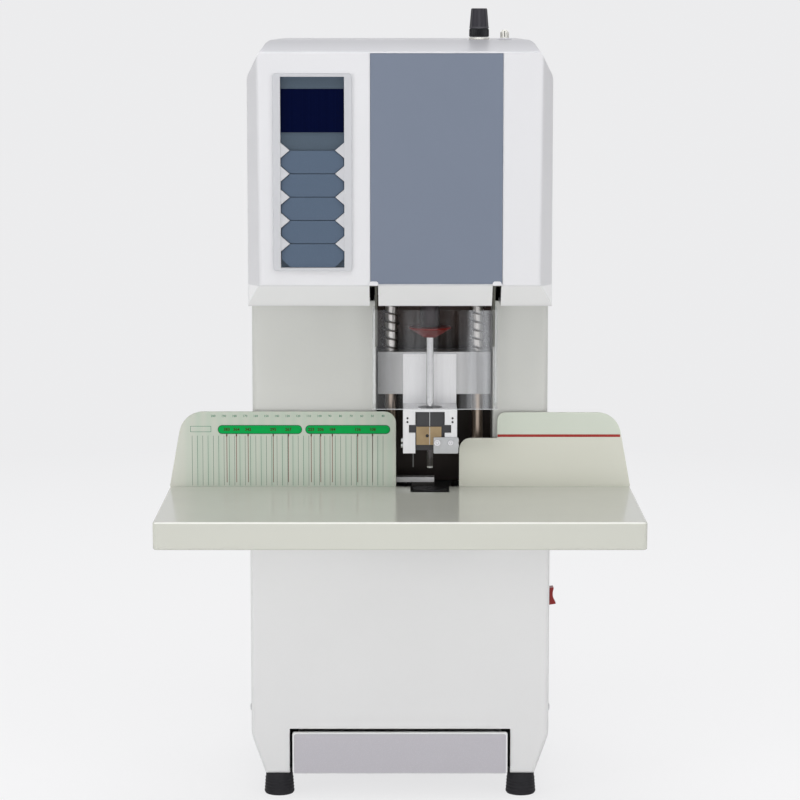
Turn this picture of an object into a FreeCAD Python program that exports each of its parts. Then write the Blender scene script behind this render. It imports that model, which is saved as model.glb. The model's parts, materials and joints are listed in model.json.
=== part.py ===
import FreeCAD, Part
import math
import os
import re
import Sketcher

# Document riveting machine: a bench machine that drills a stack of sheets with a hollow drill and
# closes it with a hot-pressed plastic tube. +Z is up, the front faces -Y, the origin lies on the
# bench under the middle of the machine's outline. Millimetres throughout.

doc = FreeCAD.newDocument("riveting_machine")

# ---------------------------------------------------------------------------------------------
# Driving sizes
# ---------------------------------------------------------------------------------------------

SIZES = {
    # table and fences
    "table_width": 435, "table_reach": 191, "table_top": 303, "table_wing": 82,
    "lip_height": 25, "lip_wall": 2, "table_sheet": 2.5, "table_corner": 4, "lip_edge": 1.8,
    "fence_sheet": 2, "left_fence_height": 71.5, "right_fence_height": 70.8, "step_height": 46.3,
    "fence_gap_left": 31.8, "fence_gap_right": 27.8, "step_length": 35.8, "fence_lean": 13,
    "gap_round": 11, "step_round": 8, "end_round": 23, "flange_depth": 18, "flange_end": 68,
    "notch_width": 36.4, "notch_depth": 33,
    # casing
    "rear_reach": 235, "cabinet_width": 285, "column_width": 279, "head_width": 280,
    "cover_wall": 2.5, "head_wall": 3, "foot_height": 22, "cabinet_setback": 8, "pan_depth": 12,
    "pan_edge": 4, "corner_run": 13.5, "corner_rise": 38, "corner_round": 30, "cover_gap": 0.3,
    "head_overhang": 64, "head_bottom": 478.5, "head_height": 243.5, "chin_height": 21,
    "chin_depth": 22, "brow_rise": 10.5, "brow_depth": 46, "bevel_width": 11, "bevel_depth": 20,
    "shoulder_width": 18.5, "shoulder_drop": 34, "head_edge": 2.5, "head_split": 32,
    "panel_width": 120.4, "panel_offset": 33.2, "panel_thick": 2.5, "panel_proud": 0.8,
    "slot_width": 8, "vent_length": 60, "vent_height": 4, "vent_pitch": 11, "vent_count": 7,
    # throat and mechanism
    "throat_offset": 32.4, "throat_width": 110, "throat_depth": 59, "fit_gap": 0.1,
    "drill_offset": 28, "binding_margin": 15, "column_spacing": 82, "column_diameter": 10.6,
    "column_setback": 28, "running_gap": 0.05,
    "frame_width": 130, "cheek_thick": 8, "spine_setback": 132, "spine_depth": 55,
    "jaw_setback": 18, "lower_jaw_depth": 60.5, "jaw_lap": 12, "upper_jaw_depth": 52,
    "base_thick": 3, "platen_thick": 12, "crown_space": 70,
    "top_plate_thick": 8, "arm_height": 20, "arm_width": 43,
    "crosshead_rise": 41.5, "crosshead_thick": 16, "crosshead_width": 104, "crosshead_nose": 22,
    "boss_radius": 16, "boss_length": 12, "bearing_radius": 13, "bearing_height": 9,
    "motor_radius": 27, "motor_height": 70, "spindle_radius": 7.95, "spindle_bore": 4,
    "chuck_radius": 9, "chuck_length": 33, "chuck_drop": 63, "drill_radius": 3.4,
    "drill_bore": 2.6, "tip_clearance": 20.6, "tip_length": 9, "tip_radius": 2.9,
    "collar_radius": 19.5, "collar_foot_radius": 6, "collar_height": 8, "collar_rim": 1.6,
    "collar_drop": 10,
    "screw_radius": 5, "screw_setback": 72, "nut_radius": 8, "nut_flange": 12,
    "lift_motor_radius": 20, "lift_motor_height": 50,
    "spout_radius": 9.5, "spout_bore": 7.5, "spout_rise": 22, "chute_offset": 112,
    "chute_setback": 37, "chute_radius": 14, "chute_bore": 12.4, "chute_mouth_rise": 74,
    "chute_bend": 225, "chute_low_bend": 100, "chute_end_gap": 6, "chute_end_offset": 80,
    "chute_end_setback": 92, "spout_drop": 73,
    # press foot
    "foot_rise": 51.5, "foot_plate_height": 40, "foot_sheet": 3, "foot_plate_margin": 1.6,
    "foot_plate_gap": 9.7, "foot_width": 50.4, "neck_step": 1.5, "ledge_height": 75,
    "ledge_nose": 13, "leg_length": 39, "rod_drop": 13, "rod_radius": 0.6,
    "leg_width": 11.5, "leg_notch_depth": 6, "leg_notch_drop": 19.6, "leg_notch_height": 7.4,
    "ledge_hole_radius": 11.5, "guide_boss_radius": 9, "guide_boss_length": 14,
    "block_width": 26, "block_front": 11, "block_depth": 22, "block_bore": 4.5,
    "shoe_lift": 2.7, "shoe_height": 5.3, "brass_height": 17, "brass_thick": 1.5,
    "clamp_left": 3.2, "clamp_width": 23.2, "clamp_height": 15.4, "clamp_thick": 2,
    "spring_radius": 7.2, "spring_wire": 0.8, "spring_turns": 8, "seat_gap": 0.3,
    # lower die
    "pad_radius": 16, "pad_height": 4, "pad_drop": 3.8, "pad_pin_radius": 3, "pad_setback": 6,
    "die_bar_lift": 2.8, "die_bar_height": 4.9, "die_bar_right": 4.4, "die_bar_length": 48,
    "die_bar_depth": 11,
    # guard
    "guard_width": 116, "guard_front": 38, "guard_wall": 2.5, "guard_lift": 3.5,
    "guard_gap": 4.5, "guard_depth": 40, "hinge_setback": 18, "hinge_rise": 20.5,
    "hinge_pin_radius": 2.2, "arm_thick": 2.2, "arm_half": 3.2, "arm_drop": 34,
    # control panel
    "bezel_left": 115.4, "bezel_width": 71.7, "bezel_lift": 13.5, "bezel_height": 179,
    "bezel_border": 6.9, "bezel_border_end": 3, "bezel_proud": 2, "bezel_round": 3,
    "screen_drop": 14, "screen_height": 39.2, "key_pitch": 21.2, "key_lift": 14.2,
    "tooth_depth": 8.2, "tooth_half": 7, "key_gap": 0.3, "key_thick": 1.6, "key_travel": 1.2,
    "key_stem_radius": 3, "facia_recess": 3.4, "facia_thick": 1.6, "board_setback": 12,
    "board_thick": 1.6,
    # drawer
    "drawer_width": 206.4, "drawer_height": 41.3, "drawer_front_thick": 3.5,
    "drawer_proud": 2.5, "drawer_depth": 118, "tray_width": 196, "tray_height": 33,
    "tray_lift": 2, "tray_wall": 2, "bay_gap": 2.6, "rail_sheet": 2.5, "rail_height": 15,
    "rail_gap": 0.6, "rail_ledge": 10,
    # switches, inlets, feet, fasteners
    "rocker_level": 184.6, "rocker_setback": 62, "rocker_height": 18.6, "rocker_width": 12,
    "rocker_tilt": 8, "rocker_rise": 11.2, "rocker_dip": 8, "rocker_back": 2.5,
    "rocker_inset": 3, "rocker_pin": 1.2, "rocker_frame": 2.6,
    "inlet_level": 60, "inlet_offset": 100, "foot_spacing": 233, "foot_radius": 14.5,
    "foot_top_radius": 12.5, "foot_inset": 30, "knob_offset": 73, "knob_setback": 14,
    "knob_rise": 28.5, "knob_radius": 9.2, "knob_tip_radius": 6.9, "knob_shaft_radius": 3.7,
    "knob_grip": 7.5, "bush_radius": 9.6, "bush_height": 2, "tube_inlet_offset": 96.5,
    "tube_inlet_radius": 4.1, "tube_inlet_height": 9, "screw_head_radius": 3.6,
    "screw_head_height": 2, "screw_shank_radius": 1.9, "screw_shank_length": 8,
    "transformer_width": 70, "transformer_depth": 72, "transformer_height": 62,
}

# Places that follow from the sizes above.
PLACES = {
    "fence_y": "(table_reach - rear_reach) / 2",
    "front_y": "fence_y - table_reach",
    "back_y": "fence_y + rear_reach",
    "wing_y": "fence_y + table_wing",
    "body_y": "fence_y + cabinet_setback",
    "head_y": "fence_y - head_overhang",
    "chin_y": "head_y + chin_depth",
    "brow_y": "head_y + brow_depth",
    "split_y": "fence_y + head_split",
    "head_top": "head_bottom + head_height",
    "face_low": "head_bottom + chin_height",
    "face_top": "head_top - brow_rise",
    "cabinet_half": "cabinet_width / 2",
    "column_half": "column_width / 2",
    "head_half": "head_width / 2",
    "cabinet_top": "table_top - table_sheet - cover_gap",
    "throat_left": "throat_offset - throat_width / 2",
    "throat_right": "throat_offset + throat_width / 2",
    "throat_back": "body_y + throat_depth",
    "gap_left": "drill_offset - fence_gap_left",
    "gap_right": "drill_offset + fence_gap_right",
    "drill_y": "fence_y - binding_margin",
    "column_y": "fence_y + column_setback",
    "column_left": "throat_offset - column_spacing / 2",
    "column_right": "throat_offset + column_spacing / 2",
    "column_radius": "column_diameter / 2",
    "spine_y": "fence_y + spine_setback",
    "jaw_y": "fence_y + jaw_setback",
    "frame_left": "throat_offset - frame_width / 2",
    "frame_right": "throat_offset + frame_width / 2",
    "base_top": "foot_height + base_thick",
    "platen_top": "table_top - lip_height",
    "top_plate_level": "head_top - crown_space",
    "upper_jaw_bottom": "top_plate_level - jaw_lap",
    "crosshead_level": "head_bottom + crosshead_rise",
    "crosshead_top": "crosshead_level + crosshead_thick",
    "chuck_bottom": "crosshead_level - chuck_drop",
    "collar_level": "chuck_bottom - collar_drop",
    "drill_tip": "table_top + tip_clearance",
    "screw_y": "fence_y + screw_setback",
    "foot_plate_y": "column_y - column_radius - foot_plate_gap",
    "ledge_level": "table_top + ledge_height",
    "foot_plate_top": "ledge_level + foot_rise",
    "leg_bottom": "ledge_level - leg_length",
    "leg_notch_bottom": "ledge_level - leg_notch_drop",
    "shoe_bottom": "leg_bottom + shoe_lift",
    "shoe_top": "shoe_bottom + shoe_height",
    "brass_top": "shoe_top + brass_height",
    "clamp_top": "leg_bottom + clamp_height",
    "pad_level": "table_top - pad_drop",
    "die_bar_level": "table_top + die_bar_lift",
    "guard_bottom": "ledge_level + guard_lift",
    "guard_top": "head_bottom - guard_gap",
    "hinge_level": "head_bottom + hinge_rise",
    "ledge_y": "drill_y - ledge_nose",
    "guard_y": "fence_y - guard_front",
    "guard_left": "throat_offset - guard_width / 2",
    "guard_right": "throat_offset + guard_width / 2",
    "hinge_y": "head_y + hinge_setback",
    "slot_left": "guard_left - 2.3",
    "slot_right": "guard_right + 2.3",
    "panel_left": "panel_offset - panel_width / 2",
    "panel_right": "panel_offset + panel_width / 2",
    "bezel_right": "bezel_width - bezel_left",
    "bezel_bottom": "face_low + bezel_lift",
    "bezel_top": "bezel_bottom + bezel_height",
    "screen_top": "bezel_top - screen_drop",
    "key_low": "bezel_bottom + key_lift",
    "facia_y": "head_y + facia_recess",
    "board_y": "head_y + board_setback",
    "drawer_y": "body_y - drawer_proud",
    "drawer_front_top": "foot_height + drawer_height",
    "tray_bottom": "base_top + tray_lift",
    "chute_mouth": "crosshead_level + chute_mouth_rise",
    "chute_end": "tray_bottom + tray_height + chute_end_gap",
    "knob_y": "brow_y + knob_setback",
    "knob_top": "head_top + knob_rise",
    "rocker_x": "cabinet_half - rocker_inset",
    "foot_y": "body_y + foot_radius",
    "chute_y": "fence_y + chute_setback",
    "motor_top": "crosshead_top + motor_height",
}


def prefixed(text):
    """An expression with each size or place named by the sheet that holds it."""
    def with_sheet(match):
        word = match.group(0)
        if word in SIZES:
            return "sizes." + word
        if word in PLACES:
            return "places." + word
        return word
    return re.sub(r"[a-z][a-z_]*", with_sheet, str(text))


def fill_sheet(name, cells, as_formula):
    """A spreadsheet with a name and a value in each row."""
    sheet = doc.addObject("Spreadsheet::Sheet", name)
    for row, (alias, value) in enumerate(cells.items(), start=1):
        sheet.set("A%d" % row, alias)
        if as_formula:
            text = "=" + prefixed(value).replace("places.", "")
        else:
            text = str(value)
        sheet.set("B%d" % row, text)
        sheet.setAlias("B%d" % row, alias)
    doc.recompute()
    return sheet


sizes = fill_sheet("sizes", SIZES, False)
places = fill_sheet("places", PLACES, True)


def value(alias):
    """The number in a named cell."""
    sheet = sizes if alias in SIZES else places
    return float(sheet.get(alias))


# ---------------------------------------------------------------------------------------------
# Building blocks
# ---------------------------------------------------------------------------------------------

subparts = []
TURNED = {
    "x": FreeCAD.Rotation(FreeCAD.Vector(0, 1, 0), 90),
    "y": FreeCAD.Rotation(FreeCAD.Vector(1, 0, 0), -90),
    "z": FreeCAD.Rotation(),
}


def bind(item, **expressions):
    """Bind properties of an object to expressions of the sheets."""
    for name, text in expressions.items():
        item.setExpression(name.replace("__", "."), prefixed(text))


def place(item, x, y, z):
    """Bind an object's base point."""
    bind(item, Placement__Base__x=x, Placement__Base__y=y, Placement__Base__z=z)


def block(name, x, y, z):
    """A box between two limits on each axis."""
    box = doc.addObject("Part::Box", name)
    bind(box, Length="(%s) - (%s)" % (x[1], x[0]), Width="(%s) - (%s)" % (y[1], y[0]),
         Height="(%s) - (%s)" % (z[1], z[0]))
    place(box, x[0], y[0], z[0])
    return box


def rod(name, base, length, radius, along="z"):
    """A cylinder from a base point along an axis."""
    cylinder = doc.addObject("Part::Cylinder", name)
    cylinder.Placement = FreeCAD.Placement(FreeCAD.Vector(), TURNED[along])
    bind(cylinder, Height=length, Radius=radius)
    place(cylinder, *base)
    return cylinder


def taper(name, base, length, low_radius, high_radius):
    """An upright truncated cone."""
    cone = doc.addObject("Part::Cone", name)
    bind(cone, Height=length, Radius1=low_radius, Radius2=high_radius)
    place(cone, *base)
    return cone


def ball(name, centre, radius):
    sphere = doc.addObject("Part::Sphere", name)
    bind(sphere, Radius=radius)
    place(sphere, *centre)
    return sphere


def fuse(name, *items):
    joined = doc.addObject("Part::MultiFuse", name)
    joined.Shapes = list(items)
    joined.Refine = True
    return joined


def cut(name, base, *tools):
    """A solid less one or more others."""
    rest = doc.addObject("Part::Cut", name)
    rest.Base = base
    rest.Tool = tools[0] if len(tools) == 1 else fuse(name + "_voids", *tools)
    rest.Refine = True
    return rest


def common(name, *items):
    shared = doc.addObject("Part::MultiCommon", name)
    shared.Shapes = list(items)
    shared.Refine = True
    return shared


def group(name, *items):
    """Separate solids that share one node."""
    bundle = doc.addObject("Part::Compound", name)
    bundle.Links = list(items)
    return bundle


def prism(name, plane, outline, low, high, rounds=()):
    """A padded sketch: an outline on XY, XZ or YZ, between two limits on the third axis.

    rounds lists (corner numbers, radius) for the edges that the pad raises from the outline.
    """
    body = doc.addObject("PartDesign::Body", name)
    sketch = body.newObject("Sketcher::SketchObject", name + "_outline")
    support = [item for item in body.Origin.OriginFeatures if item.Role == plane + "_Plane"][0]
    sketch.AttachmentSupport = (support, [""])
    sketch.MapMode = "FlatFace"
    start = "-(%s)" % high if plane == "XZ" else low
    bind(sketch, AttachmentOffset__Base__z=start)
    count = len(outline)
    ring = []
    for corner in range(count):
        angle = 2 * math.pi * corner / count
        ring.append(FreeCAD.Vector(300 * math.cos(angle), 300 * math.sin(angle), 0))
    for corner in range(count):
        sketch.addGeometry(Part.LineSegment(ring[corner], ring[(corner + 1) % count]))
    for corner in range(count):
        following = (corner + 1) % count
        sketch.addConstraint(Sketcher.Constraint("Coincident", corner, 2, following, 1))
    for corner, point in enumerate(outline):
        for axis, kind in enumerate(("DistanceX", "DistanceY")):
            limit = Sketcher.Constraint(kind, -1, 1, corner, 1, ring[corner][axis])
            number = sketch.addConstraint(limit)
            sketch.setExpression("Constraints[%d]" % number, prefixed(point[axis]))
    pad = body.newObject("PartDesign::Pad", name + "_pad")
    pad.Profile = sketch
    bind(pad, Length="(%s) - (%s)" % (high, low))
    doc.recompute()
    tip = pad
    normal = sketch.Placement.Rotation.multVec(FreeCAD.Vector(0, 0, 1))
    for step, (corners, radius) in enumerate(rounds):
        foots = [sketch.Placement.multVec(sketch.Geometry[corner].StartPoint) for corner in corners]
        names = []
        for number, edge in enumerate(tip.Shape.Edges, start=1):
            if len(edge.Vertexes) < 2:
                continue
            for foot in foots:
                off = [(vertex.Point - foot).cross(normal).Length for vertex in edge.Vertexes]
                if max(off) < 1e-4:
                    names.append("Edge%d" % number)
        fillet = body.newObject("PartDesign::Fillet", "%s_round_%d" % (name, step + 1))
        fillet.Base = (tip, names)
        bind(fillet, Radius=radius)
        body.Tip = fillet
        doc.recompute()
        tip = fillet
    return body


def soften(name, item, radius, chosen):
    """Round the edges of a solid that the test picks."""
    doc.recompute()
    picked = []
    for number, edge in enumerate(item.Shape.Edges, start=1):
        if chosen(edge):
            picked.append((number, value(radius), value(radius)))
    rounded = doc.addObject("Part::Fillet", name)
    rounded.Base = item
    rounded.Edges = picked
    return rounded


def on_plane(edge, axis, level):
    """True where both ends of an edge lie at a level of an axis."""
    return all(abs(vertex.Point[axis] - level) < 1e-4 for vertex in edge.Vertexes)


def subpart(item, label):
    """Give a finished piece the label that names its node and file."""
    item.Label = label
    subparts.append(item)
    return item


def screw(name, x, y, z, outward):
    """A pan-head screw with its head on a face: outward is +x, -x, +y or +z."""
    axis = outward[1]
    sign = 1 if outward[0] == "+" else -1
    shift = {"x": (1, 0, 0), "y": (0, 1, 0), "z": (0, 0, 1)}[axis]
    head_back = 0 if sign > 0 else -value("screw_head_height")
    shank_back = -value("screw_shank_length") if sign > 0 else 0
    heads = ["(%s) + (%s) * %d" % (text, head_back, part)
             for text, part in zip((x, y, z), shift)]
    shanks = ["(%s) + (%s) * %d" % (text, shank_back, part)
              for text, part in zip((x, y, z), shift)]
    head = rod(name + "_head", heads, "screw_head_height", "screw_head_radius", axis)
    shank = rod(name + "_shank", shanks, "screw_shank_length", "screw_shank_radius", axis)
    hole = rod(name + "_hole", shanks, "screw_shank_length", "screw_shank_radius + fit_gap", axis)
    return fuse(name, head, shank), hole


# ---------------------------------------------------------------------------------------------
# Frame: base plate, rubber feet, two C-shaped cheeks, lower platen, top plate, guide columns
# ---------------------------------------------------------------------------------------------

base_half = "cabinet_half - corner_run - cover_wall - 1"
base_plate = block("base_plate", ("-(%s)" % base_half, base_half),
                   ("body_y + pan_depth + 0.5", "back_y - cover_wall - 2.5"),
                   ("foot_height", "base_top"))
subpart(base_plate, "base_plate")

foot_list = []
for column, x in enumerate(("-foot_spacing / 2", "foot_spacing / 2")):
    for row, y in enumerate(("foot_y", "back_y - foot_inset")):
        cone = taper("foot_cone_%d%d" % (column, row), (x, y, "0"), "foot_height",
                     "foot_radius", "foot_top_radius")
        well = rod("foot_well_%d%d" % (column, row), (x, y, "-0.1"), "foot_height / 3",
                   "foot_radius / 3")
        foot_list.append(cut("foot_%d%d" % (column, row), cone, well))
feet = group("feet", *foot_list)
subpart(feet, "feet")

cheek_outline = [
    ("spine_y", "base_top"), ("spine_y + spine_depth", "base_top"),
    ("spine_y + spine_depth", "upper_jaw_bottom + upper_jaw_depth"),
    ("jaw_y", "upper_jaw_bottom + upper_jaw_depth"), ("jaw_y", "upper_jaw_bottom"),
    ("spine_y", "upper_jaw_bottom"), ("spine_y", "table_top - table_sheet"),
    ("jaw_y", "table_top - table_sheet"),
    ("jaw_y", "table_top - table_sheet - lower_jaw_depth"),
    ("spine_y", "table_top - table_sheet - lower_jaw_depth"),
]
cheek_left = prism("cheek_left", "YZ", cheek_outline, "frame_left", "frame_left + cheek_thick")
cheek_right = prism("cheek_right", "YZ", cheek_outline, "frame_right - cheek_thick", "frame_right")
frame_cheeks = group("frame_cheeks", cheek_left, cheek_right)
subpart(frame_cheeks, "frame_cheeks")

between_cheeks = ("frame_left + cheek_thick", "frame_right - cheek_thick")
lower_platen = block("lower_platen", between_cheeks, ("jaw_y", "spine_y"),
                     ("platen_top - platen_thick", "platen_top"))
subpart(lower_platen, "lower_platen")

top_blank = block("top_plate_blank", between_cheeks, ("jaw_y", "spine_y"),
                  ("top_plate_level", "top_plate_level + top_plate_thick"))
top_holes = []
for name, x in (("left", "column_left"), ("right", "column_right")):
    top_holes.append(rod("top_hole_" + name, (x, "column_y", "top_plate_level - 1"),
                         "top_plate_thick + 2", "column_radius"))
top_holes.append(rod("top_hole_screw", ("throat_offset", "screw_y", "top_plate_level - 1"),
                     "top_plate_thick + 2", "screw_radius + 2"))
top_plate = cut("top_plate", top_blank, *top_holes)
subpart(top_plate, "top_plate")

column_list = []
for name, x in (("left", "column_left"), ("right", "column_right")):
    column_list.append(rod("column_" + name, (x, "column_y", "platen_top"),
                           "top_plate_level + top_plate_thick - platen_top", "column_radius"))
guide_columns = group("guide_columns", *column_list)
subpart(guide_columns, "guide_columns")

# ---------------------------------------------------------------------------------------------
# Lower cabinet: front pan with the drawer bay, side panels, rear panel
# ---------------------------------------------------------------------------------------------


def cabinet_outline(inset):
    """Front view of the cabinet, with its two drawn-in lower corners."""
    half = "cabinet_half - (%s)" % inset
    foot = "cabinet_half - corner_run - (%s) / 2" % inset
    low = "foot_height + (%s)" % inset
    knee = "foot_height + corner_rise"
    return [("-(%s)" % half, "cabinet_top"), ("-(%s)" % half, knee), ("-(%s)" % foot, low),
            (foot, low), (half, knee), (half, "cabinet_top")]


pan_outer = prism("pan_outer", "XZ", cabinet_outline("0"), "body_y", "body_y + pan_depth",
                  [((1, 4), "corner_round")])
pan_soft = soften("pan_soft", pan_outer, "pan_edge",
                  lambda edge: on_plane(edge, 1, value("body_y"))
                  and not on_plane(edge, 2, value("cabinet_top")))
pan_inner = prism("pan_inner", "XZ", cabinet_outline("cover_wall"), "body_y + cover_wall",
                  "body_y + pan_depth + 1", [((1, 4), "corner_round - cover_wall")])
pan_open_top = block("pan_open_top", ("-(cabinet_half - cover_wall)", "cabinet_half - cover_wall"),
                     ("body_y + cover_wall", "body_y + pan_depth + 1"),
                     ("cabinet_top - 1", "cabinet_top + 1"))
bay_half = "drawer_width / 2 + bay_gap"
drawer_bay = block("drawer_bay", ("-(%s)" % bay_half, bay_half),
                   ("body_y - 1", "body_y + pan_depth + 1"),
                   ("foot_height - 1", "drawer_front_top + bay_gap"))
arm_slot = block("arm_slot", ("drill_offset - arm_width / 2 - 1", "drill_offset + arm_width / 2 + 1"),
                 ("body_y - 1", "body_y + cover_wall + 1"), ("platen_top - 1", "cabinet_top + 1"))
cabinet_front = cut("cabinet_front", pan_soft, pan_inner, pan_open_top, drawer_bay, arm_slot)
subpart(cabinet_front, "cabinet_front_cover")

wrap_outer = prism("wrap_outer", "XZ", cabinet_outline("0"), "body_y + pan_depth + cover_gap",
                   "back_y", [((1, 4), "corner_round")])
wrap_inner = prism("wrap_inner", "XZ", cabinet_outline("cover_wall"), "body_y + pan_depth - 1",
                   "back_y + 1", [((1, 4), "corner_round - cover_wall")])
wrap_top = block("wrap_top", ("-(cabinet_half - cover_wall)", "cabinet_half - cover_wall"),
                 ("body_y + pan_depth - 1", "back_y + 1"), ("cabinet_top - 1", "cabinet_top + 1"))
cabinet_wrap = cut("cabinet_wrap", wrap_outer, wrap_inner, wrap_top)


def side_vents(name, x, low, count):
    """A column of cooling slots through a side wall."""
    slots = []
    for step in range(int(value(count))):
        level = "%s + vent_pitch * %d" % (low, step)
        slots.append(block("%s_%d" % (name, step), x,
                           ("back_y - vent_length - 28", "back_y - 28"),
                           (level, "%s + vent_height" % level)))
    return slots


def side_screw_places(x):
    """Four screws that hold a cabinet side panel."""
    spots = []
    for y in ("body_y + pan_depth + 12", "back_y - 14"):
        for z in ("foot_height + corner_rise + 22", "cabinet_top - 50"):
            spots.append((x, y, z))
    return spots


panel_screws = []
side_panels = {}
for name, sign, outward in (("left", "-", "-x"), ("right", "", "+x")):
    edge = "%s(cabinet_half)" % sign
    reach = ("-(cabinet_half + 1)", "-(%s + cover_gap)" % base_half)
    if name == "right":
        reach = ("%s + cover_gap" % base_half, "cabinet_half + 1")
    half_space = block("side_space_" + name, reach, ("body_y", "back_y + 1"),
                       ("foot_height - 1", "table_top"))
    holes = side_vents("side_vent_" + name, reach, "foot_height + 70", "vent_count")
    for number, (x, y, z) in enumerate(side_screw_places(edge)):
        fastener, hole = screw("side_screw_%s_%d" % (name, number), x, y, z, outward)
        panel_screws.append(fastener)
        holes.append(hole)
    if name == "right":
        holes.append(block("rocker_opening", reach,
                           ("fence_y + rocker_setback - rocker_width / 2 - 1",
                            "fence_y + rocker_setback + rocker_width / 2 + 1"),
                           ("rocker_level - rocker_height / 2 - 1",
                            "rocker_level + rocker_height / 2 + 1")))
    side_blank = common("side_blank_" + name, cabinet_wrap, half_space)
    side_panels[name] = cut("cabinet_side_" + name, side_blank, *holes)
    subpart(side_panels[name], "cabinet_%s_side" % name)

rear_low = "cabinet_half - cover_wall - cover_gap"
rear_high = "column_half - cover_wall - cover_gap - 0.5"
rear_foot = "cabinet_half - corner_run - cover_wall"
rear_outline = [
    ("-(%s)" % rear_foot, "base_top + 0.5"), (rear_foot, "base_top + 0.5"),
    (rear_low, "foot_height + corner_rise + 3"), (rear_low, "cabinet_top"),
    (rear_high, "cabinet_top"), (rear_high, "head_top - shoulder_drop - 3"),
    ("head_half - shoulder_width - 3.5", "head_top - head_wall - cover_gap"),
    ("-(head_half - shoulder_width - 3.5)", "head_top - head_wall - cover_gap"),
    ("-(%s)" % rear_high, "head_top - shoulder_drop - 3"), ("-(%s)" % rear_high, "cabinet_top"),
    ("-(%s)" % rear_low, "cabinet_top"), ("-(%s)" % rear_low, "foot_height + corner_rise + 3"),
]
rear_blank = prism("rear_blank", "XZ", rear_outline, "back_y - cover_wall - 2", "back_y - 2",
                   [((6, 7), "shoulder_width"), ((5, 8), "shoulder_drop / 2")])
rear_holes = []
for step in range(int(value("vent_count")) + 3):
    for side, x in (("a", "-95"), ("b", "15")):
        low = "head_bottom + 40 + vent_pitch * %d" % step
        rear_holes.append(block("rear_vent_%s%d" % (side, step), (x, x + " + 80"),
                                ("back_y - 8", "back_y + 1"), (low, low + " + vent_height")))
rear_spots = [("-(%s - 8)" % rear_high, "head_top - 70"), ("%s - 8" % rear_high, "head_top - 70"),
              ("-(%s - 8)" % rear_high, "head_bottom - 60"), ("%s - 8" % rear_high, "head_bottom - 60"),
              ("-(%s - 8)" % rear_low, "foot_height + 90"), ("%s - 8" % rear_low, "foot_height + 90")]
for number, (x, z) in enumerate(rear_spots):
    fastener, hole = screw("rear_screw_%d" % number, x, "back_y - 2", z, "+y")
    panel_screws.append(fastener)
    rear_holes.append(hole)
inlet_low = "inlet_level - 10.5"
inlet_high = "inlet_level + 10.5"
rear_holes.append(block("inlet_opening", ("-(inlet_offset + 13.8)", "-(inlet_offset - 13.8)"),
                        ("back_y - 8", "back_y + 1"), (inlet_low, inlet_high)))
rear_panel = cut("rear_cover", rear_blank, *rear_holes)
subpart(rear_panel, "rear_panel")

# ---------------------------------------------------------------------------------------------
# Column covers each side of the throat, and the dark plate at the back of it
# ---------------------------------------------------------------------------------------------


def column_cover(name, outer, throat, inward, rear_strip):
    """A folded sheet: side wall, front wall and a return into the throat."""
    wall = "%s cover_wall" % inward
    plan = [
        (outer, "back_y"), (outer, "body_y"), (throat, "body_y"), (throat, "throat_back"),
        ("%s - (%s)" % (throat, wall), "throat_back"),
        ("%s - (%s)" % (throat, wall), "body_y + cover_wall"),
        ("%s + (%s)" % (outer, wall), "body_y + cover_wall"), ("%s + (%s)" % (outer, wall), "back_y"),
    ]
    sheet = prism("cover_" + name, "XY", plan, "table_top", "head_bottom",
                  [((1,), "pan_edge + 2"), ((2,), "cover_wall / 2")])
    strip = block("cover_strip_" + name, rear_strip, ("wing_y + cover_gap", "back_y"),
                  ("cabinet_top + cover_gap", "table_top"))
    return fuse("column_cover_" + name, sheet, strip)


left_cover = column_cover("left", "-column_half", "throat_left", "+",
                          ("-column_half", "-column_half + cover_wall"))
subpart(left_cover, "column_left_cover")
right_cover = column_cover("right", "column_half", "throat_right", "-",
                           ("column_half - cover_wall", "column_half"))
subpart(right_cover, "column_right_cover")

throat_plate = block("throat_plate", ("throat_left", "throat_right"),
                     ("throat_back - 2", "throat_back"),
                     ("platen_top + arm_height + cover_gap", "head_bottom"))
subpart(throat_plate, "throat_back_plate")

# ---------------------------------------------------------------------------------------------
# Head: a moulded shell in a front and a rear half, a lintel between the guard slots, and the
# insert panel. The shell is the overlap of three padded views, less the same form inset.
# ---------------------------------------------------------------------------------------------


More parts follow.
